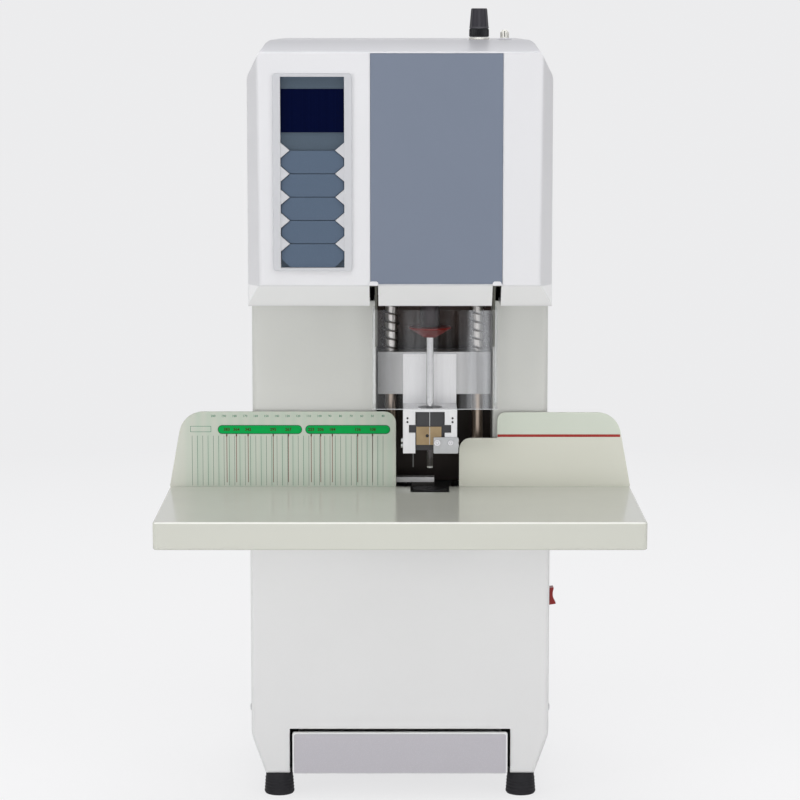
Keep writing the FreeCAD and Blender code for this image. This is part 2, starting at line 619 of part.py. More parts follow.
def head_form(name, inset, open_low):
    """The head's outline seen from the side, above and the front, overlapped."""
    low = open_low
    side = [
        ("head_y + %s" % inset, "face_low + %s * 0.45" % inset),
        ("chin_y + %s * 0.45" % inset, "head_bottom + %s" % inset),
        ("body_y + %s" % inset, "head_bottom + %s" % inset), ("body_y + %s" % inset, low),
        ("back_y + %s" % inset, low), ("back_y + %s" % inset, "head_top - %s" % inset),
        ("brow_y + %s * 0.2" % inset, "head_top - %s" % inset),
        ("head_y + %s" % inset, "face_top - %s * 0.8" % inset),
    ]
    if inset == "0":
        side = [side[0], side[1], ("back_y", "head_bottom"), side[5], side[6], side[7]]
    half = "head_half - %s" % inset
    face = "head_half - bevel_width - %s * 0.6" % inset
    plan = [
        ("-(%s)" % half, "back_y + 2"), ("-(%s)" % half, "head_y + bevel_depth"),
        ("-(%s)" % face, "head_y"), (face, "head_y"), (half, "head_y + bevel_depth"),
        (half, "back_y + 2"),
    ]
    crown = "head_half - shoulder_width - %s * 0.5" % inset
    front = [
        ("-(%s)" % half, "head_bottom - 20"), (half, "head_bottom - 20"),
        (half, "head_top - shoulder_drop"), (crown, "head_top - %s" % inset),
        ("-(%s)" % crown, "head_top - %s" % inset), ("-(%s)" % half, "head_top - shoulder_drop"),
    ]
    views = [
        prism(name + "_side", "YZ", side, "-(head_half + 5)", "head_half + 5"),
        prism(name + "_plan", "XY", plan, "head_bottom - 15", "head_top + 5",
              [((1, 4), "bevel_depth")]),
        prism(name + "_front", "XZ", front, "head_y - 5", "back_y + 5",
              [((2, 5), "shoulder_drop / 2"), ((3, 4), "shoulder_width / 2")]),
    ]
    return common(name, *views)


head_outer = head_form("head_outer", "0", "head_bottom")


def outer_front_edge(edge):
    """Edges of the face, chin and brow, in front of the flat top."""
    ahead = all(vertex.Point.y < value("brow_y") + 0.01 for vertex in edge.Vertexes)
    flat_low = on_plane(edge, 2, value("head_bottom")) and not on_plane(edge, 1, value("chin_y"))
    centre = edge.valueAt((edge.FirstParameter + edge.LastParameter) / 2)
    level = abs(edge.Vertexes[0].Point.z - edge.Vertexes[-1].Point.z) < 1e-4
    middle = abs(centre.x) < 1
    return ahead and level and middle and not flat_low


head_soft = soften("head_soft", head_outer, "head_edge", outer_front_edge)
head_inner = head_form("head_inner", "head_wall", "head_bottom - 10")
head_shell = cut("head_shell", head_soft, head_inner)

front_space = block("front_space", ("-(head_half + 1)", "head_half + 1"),
                    ("head_y - 1", "split_y"), ("head_bottom - 1", "head_top + 1"))
rear_space = block("rear_space", ("-(head_half + 1)", "head_half + 1"),
                   ("split_y + cover_gap", "back_y + 1"), ("head_bottom - 1", "head_top + 1"))

throat_opening = block("throat_opening", ("slot_left", "slot_right"),
                       ("head_y - 1", "body_y + 20"), ("head_bottom - 1", "face_low"))
panel_rebate = block("panel_rebate", ("panel_left - 0.2", "panel_right + 0.2"),
                     ("head_y - 1", "head_y + panel_thick - panel_proud"),
                     ("face_low + 1.3", "face_top - 1.3"))
service_opening = block("service_opening", ("panel_left + 8", "panel_right - 8"),
                        ("head_y - 1", "head_y + head_wall + 1"),
                        ("face_low + 12", "face_top - 12"))
bezel_opening = block("bezel_opening",
                      ("-bezel_left + bezel_border / 2", "bezel_right - bezel_border / 2"),
                      ("head_y - 1", "head_y + head_wall + 1"),
                      ("bezel_bottom + bezel_border_end / 2", "bezel_top - bezel_border_end / 2"))
knob_hole = rod("knob_hole", ("knob_offset", "knob_y", "head_top - 10"), "20",
                "knob_shaft_radius + 0.6 + fit_gap")
tube_hole = rod("tube_hole", ("tube_inlet_offset", "knob_y", "head_top - 10"), "20",
                "tube_inlet_radius - 1 + fit_gap")

cheeks = []
for side, centre, sign in (("left", "guard_left", 1), ("right", "guard_right", -1)):
    for name, near, far in (("out", -5.6, -2.6), ("in", 5.6, 8.6)):
        low, high = sorted((near * sign, far * sign))
        lug = block("lug_%s_%s" % (side, name),
                    ("%s + %s" % (centre, low), "%s + %s" % (centre, high)),
                    ("hinge_y - 6", "hinge_y + 5"), ("hinge_level - 6", "hinge_level + 14"))
        arm = block("lug_arm_%s_%s" % (side, name),
                    ("%s + %s" % (centre, low), "%s + %s" % (centre, high)),
                    ("head_y + head_wall", "hinge_y + 5"), ("hinge_level + 6", "hinge_level + 14"))
        cheeks.append(fuse("cheek_%s_%s" % (side, name), lug, arm))
pin_bores = []
for side, centre in (("left", "guard_left"), ("right", "guard_right")):
    pin_bores.append(rod("pin_bore_" + side, ("%s - 12" % centre, "hinge_y", "hinge_level"),
                         "24", "hinge_pin_radius + running_gap", "x"))

front_half = common("front_half", head_shell, front_space)
front_open = cut("front_open", front_half, throat_opening, panel_rebate, service_opening,
                 bezel_opening, knob_hole, tube_hole)
head_front = cut("head_front", fuse("front_with_lugs", front_open, *cheeks), *pin_bores)
subpart(head_front, "head_front_cover")

rear_half = common("head_rear", head_shell, rear_space)
subpart(rear_half, "head_rear_cover")

lintel_space = block("lintel_space", ("slot_left + slot_width", "slot_right - slot_width"),
                     ("head_y - 1", "chin_y + head_wall * 1.5"), ("head_bottom - 1", "face_low"))
lintel_strip = common("lintel_strip", head_shell, lintel_space)
subpart(lintel_strip, "throat_lintel")

panel_plate = block("panel_plate", ("panel_left", "panel_right"),
                    ("head_y - panel_proud", "head_y + panel_thick - panel_proud"),
                    ("face_low + 1.5", "face_top - 1.5"))
subpart(panel_plate, "front_panel")

# ---------------------------------------------------------------------------------------------
# Control panel: bezel with teeth between the keys, facia, screen, five keys, circuit board
# ---------------------------------------------------------------------------------------------

well_left = "-bezel_left + bezel_border"
well_right = "bezel_right - bezel_border"
well_low = "bezel_bottom + bezel_border_end"
well_high = "bezel_top - bezel_border_end"
key_total = 5

bezel_face = prism("bezel_face", "XZ",
                   [("-bezel_left", "bezel_bottom"), ("bezel_right", "bezel_bottom"),
                    ("bezel_right", "bezel_top"), ("-bezel_left", "bezel_top")],
                   "head_y - bezel_proud", "head_y", [((0, 1, 2, 3), "bezel_round")])
bezel_rim = soften("bezel_rim", bezel_face, "key_gap",
                   lambda edge: on_plane(edge, 1, value("head_y") - value("bezel_proud")))
bezel_sleeve = block("bezel_sleeve",
                     ("-bezel_left + bezel_border / 2", "bezel_right - bezel_border / 2"),
                     ("head_y", "facia_y + facia_thick"),
                     ("bezel_bottom + bezel_border_end / 2", "bezel_top - bezel_border_end / 2"))
bezel_well = block("bezel_well", (well_left, well_right), ("head_y - 5", "head_y + 20"),
                   (well_low, well_high))
bezel_frame = cut("bezel_frame", fuse("bezel_solid", bezel_rim, bezel_sleeve), bezel_well)
teeth = []
for number in range(key_total):
    level = "key_low + key_pitch * (%d + 0.5)" % number
    if number == key_total - 1:
        level = "%s" % level
    for side, root, tip in (("left", well_left, "%s + tooth_depth" % well_left),
                            ("right", well_right, "%s - tooth_depth" % well_right)):
        outline = [(root, "%s - tooth_half" % level), (tip, level), (root, "%s + tooth_half" % level)]
        teeth.append(prism("tooth_%s_%d" % (side, number), "XZ", outline,
                           "head_y - bezel_proud + 0.6", "facia_y"))
bezel_whole = fuse("bezel_whole", bezel_frame, *teeth)
subpart(bezel_whole, "display_bezel")

facia_blank = block("facia_blank", ("%s + 0.2" % well_left, "%s - 0.2" % well_right),
                    ("facia_y", "facia_y + facia_thick"),
                    ("%s + 0.2" % well_low, "%s - 0.2" % well_high))
screen_low = "screen_top - screen_height"
facia_holes = [block("screen_opening", ("%s + 2" % well_left, "%s - 2" % well_right),
                     ("facia_y - 1", "facia_y + facia_thick + 1"),
                     ("%s + 2" % screen_low, "screen_top - 2"))]
key_x = "(bezel_width / 2 - bezel_left)"
for number in range(key_total):
    facia_holes.append(rod("stem_hole_%d" % number,
                           (key_x, "facia_y - 1", "key_low + key_pitch * %d" % number),
                           "facia_thick + 2", "key_stem_radius + 0.5", "y"))
facia = cut("facia", facia_blank, *facia_holes)
subpart(facia, "keypad_facia")

screen_front = block("screen_front", ("%s + 0.3" % well_left, "%s - 0.3" % well_right),
                     ("facia_y - 1.2", "facia_y"), (screen_low, "screen_top"))
screen_back = block("screen_back", ("%s + 2.2" % well_left, "%s - 2.2" % well_right),
                    ("facia_y - 0.2", "facia_y + facia_thick"),
                    ("%s + 2.2" % screen_low, "screen_top - 2.2"))
screen = fuse("screen", screen_front, screen_back)
subpart(screen, "display_window")

key_front = "facia_y - key_travel - 0.2 - key_thick"
for number in range(key_total):
    level = "(key_low + key_pitch * %d)" % number
    wide = "(%s + key_gap + 0.3)" % well_left
    slim = "(%s + tooth_depth + key_gap)" % well_left
    wide_right = "(%s - key_gap - 0.3)" % well_right
    slim_right = "(%s - tooth_depth - key_gap)" % well_right
    end = "(key_pitch / 2 - key_gap)"
    flat = "(key_pitch / 2 - tooth_half - key_gap)"
    low_end = end
    if number == 0:
        low_end = "(%s - (%s) - key_gap)" % (level, well_low)
    outline = [
        (slim, "%s - %s" % (level, low_end)), (slim_right, "%s - %s" % (level, low_end)),
        (wide_right, "%s - %s" % (level, flat)), (wide_right, "%s + %s" % (level, flat)),
        (slim_right, "%s + %s" % (level, end)), (slim, "%s + %s" % (level, end)),
        (wide, "%s + %s" % (level, flat)), (wide, "%s - %s" % (level, flat)),
    ]
    cap = prism("key_cap_%d" % number, "XZ", outline, key_front,
                "%s + key_thick" % key_front, [((0, 1, 2, 3, 4, 5, 6, 7), "key_gap")])
    stem = rod("key_stem_%d" % number, (key_x, "%s + key_thick" % key_front, level),
               "key_travel + 0.2 + facia_thick + 2", "key_stem_radius", "y")
    key = fuse("key_%d" % (key_total - number), cap, stem)
    subpart(key, "key_%d" % (key_total - number))

board_left = "-bezel_left - 5"
board_right = "bezel_right + 5"
board = block("board", (board_left, board_right), ("board_y", "board_y + board_thick"),
              ("bezel_bottom + 2", "bezel_top - 2"))
board_items = []
switch_top = "%s + key_thick + key_travel + 0.2 + facia_thick + 2 + key_travel" % key_front
for number in range(key_total):
    level = "key_low + key_pitch * %d" % number
    board_items.append(block("tact_%d" % number, ("%s - 3" % key_x, "%s + 3" % key_x),
                             (switch_top, "board_y"), ("%s - 3" % level, "%s + 3" % level)))
board_items.append(block("screen_module", ("%s + 3" % well_left, "%s - 3" % well_right),
                         ("facia_y + facia_thick + 0.3", "board_y"),
                         ("%s + 1" % screen_low, "screen_top - 1")))
for column, x in enumerate(("%s + 2.4" % board_left, "%s - 2.4" % board_right)):
    for row, z in enumerate(("bezel_bottom + 8", "bezel_top - 8")):
        board_items.append(rod("standoff_%d%d" % (column, row),
                               (x, "head_y + head_wall", z), "board_setback - head_wall", "2.2", "y"))
control_board = fuse("circuit_board", board, *board_items)
subpart(control_board, "control_board")

# ---------------------------------------------------------------------------------------------
# Table and fences
# ---------------------------------------------------------------------------------------------

table_half = "table_width / 2"
table_blank = prism("table_blank", "XY",
                    [("-(%s)" % table_half, "front_y"), (table_half, "front_y"),
                     (table_half, "wing_y"), ("-(%s)" % table_half, "wing_y")],
                    "table_top - lip_height", "table_top", [((0, 1, 2, 3), "table_corner")])
table_soft = soften("table_soft", table_blank, "lip_edge",
                    lambda edge: on_plane(edge, 2, value("table_top"))
                    or on_plane(edge, 2, value("table_top") - value("lip_height")))
inner_half = "table_width / 2 - lip_wall"
table_hollow = block("table_hollow", ("-(%s)" % inner_half, inner_half),
                     ("front_y + lip_wall", "wing_y - lip_wall"),
                     ("table_top - lip_height - 1", "table_top - table_sheet"))
lip_relief = block("lip_relief", ("-(cabinet_half + 0.5)", "cabinet_half + 0.5"),
                   ("wing_y - lip_wall - 1", "wing_y + 1"),
                   ("table_top - lip_height - 1", "table_top - table_sheet"))
throat_cut = block("throat_cut", ("throat_left", "throat_right"), ("body_y", "wing_y + 1"),
                   ("table_top - lip_height - 1", "table_top + 1"))
gap_cut = block("gap_cut", ("gap_left", "gap_right"), ("fence_y", "body_y + 1"),
                ("table_top - lip_height - 1", "table_top + 1"))
notch_cut = block("notch_cut", ("drill_offset - notch_width / 2", "drill_offset + notch_width / 2"),
                  ("fence_y - notch_depth", "fence_y + 1"),
                  ("table_top - lip_height - 1", "table_top + 1"))
chute_cut = rod("chute_cut", ("chute_offset", "chute_y", "table_top - lip_height - 1"),
                "lip_height + 2", "chute_radius + 1")
fence_screw_spots = []
for x in ("-(table_width / 2 - flange_end + 9)", "-(table_width / 2 - 16)",
          "table_width / 2 - flange_end + 9", "table_width / 2 - 16"):
    fence_screw_spots.append((x, "fence_y + fence_sheet + flange_depth / 2",
                              "table_top + fence_sheet"))
fence_holes = []
for number, (x, y, z) in enumerate(fence_screw_spots):
    fastener, hole = screw("fence_screw_%d" % number, x, y, z, "+z")
    panel_screws.append(fastener)
    fence_holes.append(hole)
table = cut("table_tray", table_soft, table_hollow, lip_relief, throat_cut, gap_cut, notch_cut,
            chute_cut, *fence_holes)
subpart(table, "table")

left_top = "table_top + left_fence_height"
left_outline = [
    ("-(%s)" % table_half, "table_top"), ("gap_left", "table_top"), ("gap_left", left_top),
    ("-(%s - fence_lean)" % table_half, left_top),
]
left_sheet = prism("left_sheet", "XZ", left_outline, "fence_y", "fence_y + fence_sheet",
                   [((2,), "gap_round"), ((3,), "end_round")])
left_flange = block("left_flange", ("-(%s)" % table_half, "-(%s) + flange_end" % table_half),
                    ("fence_y + fence_sheet", "fence_y + fence_sheet + flange_depth"),
                    ("table_top", "table_top + fence_sheet"))
right_top = "table_top + right_fence_height"
right_outline = [
    ("gap_right", "table_top"), (table_half, "table_top"),
    ("%s - fence_lean" % table_half, right_top),
    ("gap_right + step_length", right_top), ("gap_right + step_length", "table_top + step_height"),
    ("gap_right", "table_top + step_height"),
]
right_sheet = prism("right_sheet", "XZ", right_outline, "fence_y", "fence_y + fence_sheet",
                    [((2,), "end_round"), ((3,), "step_round"), ((5,), "gap_round")])
right_flange = block("right_flange", ("%s - flange_end" % table_half, table_half),
                     ("fence_y + fence_sheet", "fence_y + fence_sheet + flange_depth"),
                     ("table_top", "table_top + fence_sheet"))
left_fence = cut("left_guide", fuse("left_folded", left_sheet, left_flange), *fence_holes[:2])
right_fence = cut("right_guide", fuse("right_folded", right_sheet, right_flange), *fence_holes[2:])
subpart(left_fence, "left_fence")
subpart(right_fence, "right_fence")
screws = group("screw_set", *panel_screws)
subpart(screws, "panel_screws")

# ---------------------------------------------------------------------------------------------
# Lower die: arm under the table, turning cutting pad, clamp bar
# ---------------------------------------------------------------------------------------------

pad_y = "(drill_y + pad_setback)"
arm_top = "(platen_top + arm_height)"
arm_bar = block("arm_bar", ("drill_offset - arm_width / 2", "drill_offset + arm_width / 2"),
                ("fence_y - notch_depth - 2", "spine_y - 40"), ("platen_top", arm_top))
pad_seat = rod("pad_seat", ("drill_offset", pad_y, arm_top), "pad_level - %s" % arm_top,
               "pad_radius + 1")
pad_pin = rod("pad_pin", ("drill_offset", pad_y, arm_top), "pad_level + pad_height - 0.5 - %s" % arm_top,
              "pad_pin_radius")
anvil_arm = fuse("anvil", arm_bar, pad_seat, pad_pin)
subpart(anvil_arm, "anvil_arm")

pad_disc = rod("pad_disc", ("drill_offset", pad_y, "pad_level"), "pad_height", "pad_radius")
pad_bore = rod("pad_bore", ("drill_offset", pad_y, "pad_level - 1"), "pad_height + 2",
               "pad_pin_radius + running_gap")
cutting_pad = cut("pad", pad_disc, pad_bore)
subpart(cutting_pad, "cutting_pad")

bar_y = "body_y"
die_post = block("die_post", ("drill_offset - 17", "drill_offset + die_bar_right"),
                 ("%s + 1" % bar_y, "%s + die_bar_depth" % bar_y), (arm_top, "die_bar_level"))
die_bar = block("die_bar", ("drill_offset + die_bar_right - die_bar_length",
                            "drill_offset + die_bar_right"),
                (bar_y, "%s + die_bar_depth" % bar_y),
                ("die_bar_level", "die_bar_level + die_bar_height"))
clamp_bar = fuse("clamp_bar", die_post, die_bar)
subpart(clamp_bar, "die_clamp_bar")

# ---------------------------------------------------------------------------------------------
# Drill feed: lift motor, lead screw, crosshead with nut, bearings, drill motor and chip spout
# ---------------------------------------------------------------------------------------------

lift_can = rod("lift_can", ("throat_offset", "screw_y", "top_plate_level + top_plate_thick + 4"),
               "lift_motor_height - 4", "lift_motor_radius")
lift_flange = block("lift_flange", ("throat_offset - lift_motor_radius", "throat_offset + lift_motor_radius"),
                    ("screw_y - lift_motor_radius", "screw_y + lift_motor_radius"),
                    ("top_plate_level + top_plate_thick", "top_plate_level + top_plate_thick + 4"))
lift_motor = fuse("lift_drive", lift_can, lift_flange)
subpart(lift_motor, "lift_motor")

screw_low = "crosshead_level - 28"
screw_rod = rod("screw_rod", ("throat_offset", "screw_y", screw_low),
                "top_plate_level - 6 - (%s)" % screw_low, "screw_radius")
screw_collar = rod("screw_collar", ("throat_offset", "screw_y", "top_plate_level - 12"), "11.7",
                   "screw_radius + 4")
screw_neck = rod("screw_neck", ("throat_offset", "screw_y", "top_plate_level - 1"),
                 "top_plate_thick + 0.7", "screw_radius")
lead_screw = fuse("feed_screw", screw_rod, screw_collar, screw_neck)
subpart(lead_screw, "lead_screw")

cross_half = "crosshead_width / 2"
cross_plate = block("cross_plate", ("throat_offset - %s" % cross_half, "throat_offset + %s" % cross_half),
                    ("drill_y - crosshead_nose", "column_y + 16"), ("crosshead_level", "crosshead_top"))
cross_tongue = block("cross_tongue", ("throat_offset - 20", "throat_offset + 20"),
                     ("column_y + 10", "screw_y + 18"), ("crosshead_level", "crosshead_top"))
cross_boss = rod("cross_boss", ("drill_offset", "drill_y", "crosshead_level - boss_length"),
                 "boss_length", "boss_radius")
cross_holes = [
    rod("bearing_bore", ("drill_offset", "drill_y", "crosshead_level - boss_length - 1"),
        "crosshead_thick + boss_length + 2", "bearing_radius"),
    rod("nut_bore", ("throat_offset", "screw_y", "crosshead_level - 1"), "crosshead_thick + 2",
        "nut_radius"),
]
for name, x in (("left", "column_left"), ("right", "column_right")):
    cross_holes.append(rod("cross_bore_" + name, (x, "column_y", "crosshead_level - 1"),
                           "crosshead_thick + 2", "column_radius + running_gap"))
crosshead = cut("cross", fuse("cross_casting", cross_plate, cross_tongue, cross_boss), *cross_holes)
subpart(crosshead, "crosshead")

bearing_list = []
for name, z in (("low", "crosshead_level - boss_length"), ("high", "crosshead_top - bearing_height")):
    ring = rod("bearing_ring_" + name, ("drill_offset", "drill_y", z), "bearing_height",
               "bearing_radius")
    bore = rod("bearing_hole_" + name, ("drill_offset", "drill_y", "%s - 1" % z),
               "bearing_height + 2", "spindle_radius + running_gap")
    bearing_list.append(cut("bearing_" + name, ring, bore))
bearings = group("bearing_pair", *bearing_list)
subpart(bearings, "spindle_bearings")

nut_tube = rod("nut_tube", ("throat_offset", "screw_y", "crosshead_level"),
               "crosshead_thick + 5", "nut_radius")
nut_rim = rod("nut_rim", ("throat_offset", "screw_y", "crosshead_top"), "5", "nut_flange")
nut_hole = rod("nut_hole", ("throat_offset", "screw_y", "crosshead_level - 1"),
               "crosshead_thick + 8", "screw_radius + running_gap")
lead_nut = cut("feed_nut", fuse("nut_blank", nut_tube, nut_rim), nut_hole)
subpart(lead_nut, "lead_nut")

motor_can = rod("motor_can", ("drill_offset", "drill_y", "crosshead_top"), "motor_height",
                "motor_radius")
motor_bore = rod("motor_bore", ("drill_offset", "drill_y", "crosshead_top - 1"),
                 "motor_height + 2", "spindle_radius + 0.7")
drill_motor = cut("motor", motor_can, motor_bore)
subpart(drill_motor, "drill_motor")

spout_z = "(motor_top + spout_rise)"
spout_corner = ("chute_offset", "drill_y", spout_z)
spout_outlet = ("chute_offset", "chute_y", spout_z)


def spout_form(name, radius, cap_radius, cap_low, cap_high, end_low):
    """Inlet cap over the spindle, two level runs joined by a ball, and a drop pipe."""
    return fuse(
        name,
        rod(name + "_cap", ("drill_offset", "drill_y", cap_low), "(%s) - (%s)" % (cap_high, cap_low),
            cap_radius),
        rod(name + "_run", ("drill_offset", "drill_y", spout_z), "chute_offset - drill_offset",
            radius, "x"),
        ball(name + "_elbow", spout_corner, radius),
        rod(name + "_back", spout_corner, "chute_y - drill_y", radius, "y"),
        ball(name + "_bend", spout_outlet, radius),
        rod(name + "_drop", ("chute_offset", "chute_y", end_low), "%s - (%s)" % (spout_z, end_low),
            radius),
    )


spout_end = "%s - spout_drop" % spout_z
spout_outside = spout_form("spout_outside", "spout_radius", "spindle_radius + 4.5", "motor_top",
                           "%s + 12" % spout_z, spout_end)
spout_inside = spout_form("spout_inside", "spout_bore", "spindle_radius + 0.5", "motor_top - 1",
                          "%s + 9" % spout_z, "%s - 1" % spout_end)
chip_spout = cut("spout", spout_outside, spout_inside)
subpart(chip_spout, "chip_spout")

# Spindle with chuck, splash collar and hollow drill.

spindle_top = "(motor_top + 8)"
spindle_rod = rod("spindle_rod", ("drill_offset", "drill_y", "chuck_bottom + chuck_length"),
                  "%s - chuck_bottom - chuck_length" % spindle_top, "spindle_radius")
chuck = rod("chuck", ("drill_offset", "drill_y", "chuck_bottom"), "chuck_length", "chuck_radius")
chuck_bore = rod("chuck_bore", ("drill_offset", "drill_y", "chuck_bottom - 1"), "14", "drill_radius")
chip_bore = rod("chip_bore", ("drill_offset", "drill_y", "chuck_bottom + 12"),
                "%s - chuck_bottom" % spindle_top, "spindle_bore")
drill_spindle = cut("spindle", fuse("spindle_blank", spindle_rod, chuck), chuck_bore, chip_bore)
subpart(drill_spindle, "drill_spindle")

drill_tube = rod("drill_tube", ("drill_offset", "drill_y", "drill_tip + tip_length"),
                 "chuck_bottom + 12 - drill_tip - tip_length", "drill_radius")
drill_point = taper("drill_point", ("drill_offset", "drill_y", "drill_tip"), "tip_length",
                    "tip_radius", "drill_radius")
drill_hole = rod("drill_hole", ("drill_offset", "drill_y", "drill_tip - 1"),
                 "chuck_bottom + 14 - drill_tip", "drill_bore")
hollow_drill = cut("drill", fuse("drill_blank", drill_tube, drill_point), drill_hole)
subpart(hollow_drill, "hollow_drill")

collar_cone = taper("collar_cone", ("drill_offset", "drill_y", "collar_level"), "collar_height",
                    "collar_foot_radius", "collar_radius")
collar_edge = rod("collar_edge", ("drill_offset", "drill_y", "collar_level + collar_height"),
                  "collar_rim", "collar_radius")
collar_hub = rod("collar_hub", ("drill_offset", "drill_y", "collar_level"),
                 "chuck_bottom - collar_level", "chuck_radius - 2")
collar_bore = rod("collar_bore", ("drill_offset", "drill_y", "collar_level - 1"),
                  "chuck_bottom - collar_level + 2", "drill_radius + fit_gap")
collar = cut("splash_collar", fuse("collar_blank", collar_cone, collar_edge, collar_hub), collar_bore)
subpart(collar, "drill_collar")

# ---------------------------------------------------------------------------------------------
# Press foot: folded bracket sliding on the columns, heater block, brass plate, clamp, screws
# ---------------------------------------------------------------------------------------------

plate_left = "throat_left + foot_plate_margin"
plate_right = "throat_right - foot_plate_margin"
foot_left = "(drill_offset - foot_width / 2)"
foot_right = "(drill_offset + foot_width / 2)"
plate_low = "foot_plate_top - foot_plate_height"
ledge_top = "ledge_level + foot_sheet"
bracket_items = [
    block("foot_plate", (plate_left, plate_right), ("foot_plate_y", "foot_plate_y + foot_sheet"),
          (plate_low, "foot_plate_top")),
    block("foot_shelf", (plate_left, plate_right), ("foot_plate_y", "column_y + guide_boss_radius + 2"),
          ("foot_plate_top - foot_sheet", "foot_plate_top")),
    block("foot_neck", (foot_left, foot_right), ("foot_plate_y - neck_step", "foot_plate_y + foot_sheet"),
          ("ledge_level", "foot_plate_top - neck_step")),
    block("foot_ledge", (foot_left, foot_right), ("ledge_y", "foot_plate_y + foot_sheet"),
          ("ledge_level", ledge_top)),
    block("side_plate_left", (foot_left, "%s + 2.5" % foot_left), ("ledge_y", "drill_y + 11"),
          ("leg_bottom", "ledge_level")),
    block("side_plate_right", ("%s - 2.5" % foot_right, foot_right), ("ledge_y", "drill_y + 11"),
          ("leg_bottom", "ledge_level")),
    block("leg_left", (foot_left, "%s + leg_width" % foot_left), ("ledge_y", "ledge_y + foot_sheet"),
          ("leg_bottom", "ledge_level")),
    block("leg_right", ("%s - leg_width" % foot_right, foot_right),
          ("ledge_y", "ledge_y + foot_sheet"), ("leg_bottom", "ledge_level")),
    rod("depth_rod", ("%s + leg_width - 2" % foot_left, "ledge_y + foot_sheet / 2",
                      "leg_bottom - rod_drop"), "rod_drop + 1", "rod_radius"),
]
bracket_holes = [
    rod("ledge_hole", ("drill_offset", "drill_y", "ledge_level - 1"), "foot_sheet + 2",
        "ledge_hole_radius"),
    block("notch_left", ("%s + leg_width - leg_notch_depth" % foot_left, "%s + leg_width + 1" % foot_left),
          ("ledge_y - 1", "ledge_y + foot_sheet + 1"),
          ("leg_notch_bottom", "leg_notch_bottom + leg_notch_height")),
    block("notch_right", ("%s - leg_width - 1" % foot_right, "%s - leg_width + leg_notch_depth" % foot_right),
          ("ledge_y - 1", "ledge_y + foot_sheet + 1"),
          ("leg_notch_bottom", "leg_notch_bottom + leg_notch_height")),
]
for name, x in (("left", "column_left"), ("right", "column_right")):
    bracket_items.append(rod("guide_boss_" + name,
                             (x, "column_y", "foot_plate_top - foot_sheet - guide_boss_length"),
                             "guide_boss_length", "guide_boss_radius"))
    bracket_holes.append(rod("guide_bore_" + name,
                             (x, "column_y", "foot_plate_top - foot_sheet - guide_boss_length - 1"),
                             "guide_boss_length + foot_sheet + 2", "column_radius + running_gap"))
for name, x in (("left", "%s + 4.2" % foot_left), ("right", "%s - 4.2" % foot_right)):
    for row, z in enumerate(("ledge_level - 6", "ledge_level - 9.6")):
        bracket_holes.append(rod("leg_hole_%s_%d" % (name, row), (x, "ledge_y - 1", z),
                                 "foot_sheet + 2", "1", "y"))
press_bracket = cut("foot_bracket", fuse("bracket_folded", *bracket_items), *bracket_holes)
subpart(press_bracket, "press_bracket")

heater_core = block("heater_core", ("drill_offset - block_width / 2", "drill_offset + block_width / 2"),
                    ("drill_y - block_front", "drill_y - block_front + block_depth"),
                    ("shoe_top", "ledge_level"))
heater_tabs = block("heater_tabs",
                    ("drill_offset - foot_width / 2 + leg_width - leg_notch_depth + 0.3",
                     "drill_offset + foot_width / 2 - leg_width + leg_notch_depth - 0.3"),
                    ("drill_y - block_front", "drill_y"),
                    ("leg_notch_bottom + 0.3", "leg_notch_bottom + leg_notch_height - 0.3"))
heater_shoe = block("heater_shoe", ("drill_offset - block_width / 2 - 0.3", "drill_offset + block_width / 2 + 0.3"),
                    ("drill_y - block_front", "drill_y - block_front + block_depth"),
                    ("shoe_bottom", "shoe_top"))
heater_bore = rod("heater_bore", ("drill_offset", "drill_y", "shoe_bottom - 1"),
                  "ledge_level - shoe_bottom + 2", "block_bore")
heater_block = cut("heater", fuse("heater_blank", heater_core, heater_tabs, heater_shoe), heater_bore)
subpart(heater_block, "heater_block")

brass_back = "(drill_y - block_front)"
brass_blank = block("brass_blank", ("drill_offset - block_width / 2 + 0.2", "drill_offset + block_width / 2 - 2.4"),
                    ("%s - brass_thick" % brass_back, brass_back), ("shoe_top", "brass_top"))
brass_spot = rod("brass_spot", ("drill_offset - 2.6", "%s - 5" % brass_back, "(shoe_top + brass_top) / 2"),
                 "10", "1.6", "y")
brass_plate = cut("brass", brass_blank, brass_spot)
subpart(brass_plate, "brass_plate")

clamp_front = "(ledge_y - clamp_thick)"
clamp = prism("clamp", "XZ",
              [("drill_offset + clamp_left", "leg_bottom"),
               ("drill_offset + clamp_left + clamp_width", "leg_bottom"),
               ("drill_offset + clamp_left + clamp_width", "clamp_top"),
               ("drill_offset + clamp_left", "clamp_top")],
              clamp_front, "ledge_y", [((0, 1, 2, 3), "1.2")])
subpart(clamp, "clamp_plate")

foot_screw_list = []
for number, (x, radius) in enumerate((("drill_offset + clamp_left + 3.6", "3.1"),
                                      ("drill_offset + clamp_left + 16", "2.6"))):
    head = rod("clamp_head_%d" % number, (x, "%s - 1.8" % clamp_front, "leg_bottom + 10.4"), "1.8",
               radius, "y")
    socket = rod("clamp_socket_%d" % number, (x, "%s - 2" % clamp_front, "leg_bottom + 10.4"), "1.2",
                 "%s * 0.45" % radius, "y")
    foot_screw_list.append(cut("clamp_screw_%d" % number, head, socket))
for number, z in enumerate(("leg_bottom + 6.6", "leg_bottom + 11.6")):
    foot_screw_list.append(rod("left_screw_%d" % number, ("%s - 1.8" % foot_left, "ledge_y + 5", z),
                               "1.8", "2.1", "x"))
    foot_screw_list.append(rod("right_screw_%d" % number, (foot_right, "ledge_y + 5", z), "1.8",
                               "2.1", "x"))
foot_screws = group("foot_screw_set", *foot_screw_list)
subpart(foot_screws, "foot_screws")

# Return springs between the press foot and the crosshead, one round each column.

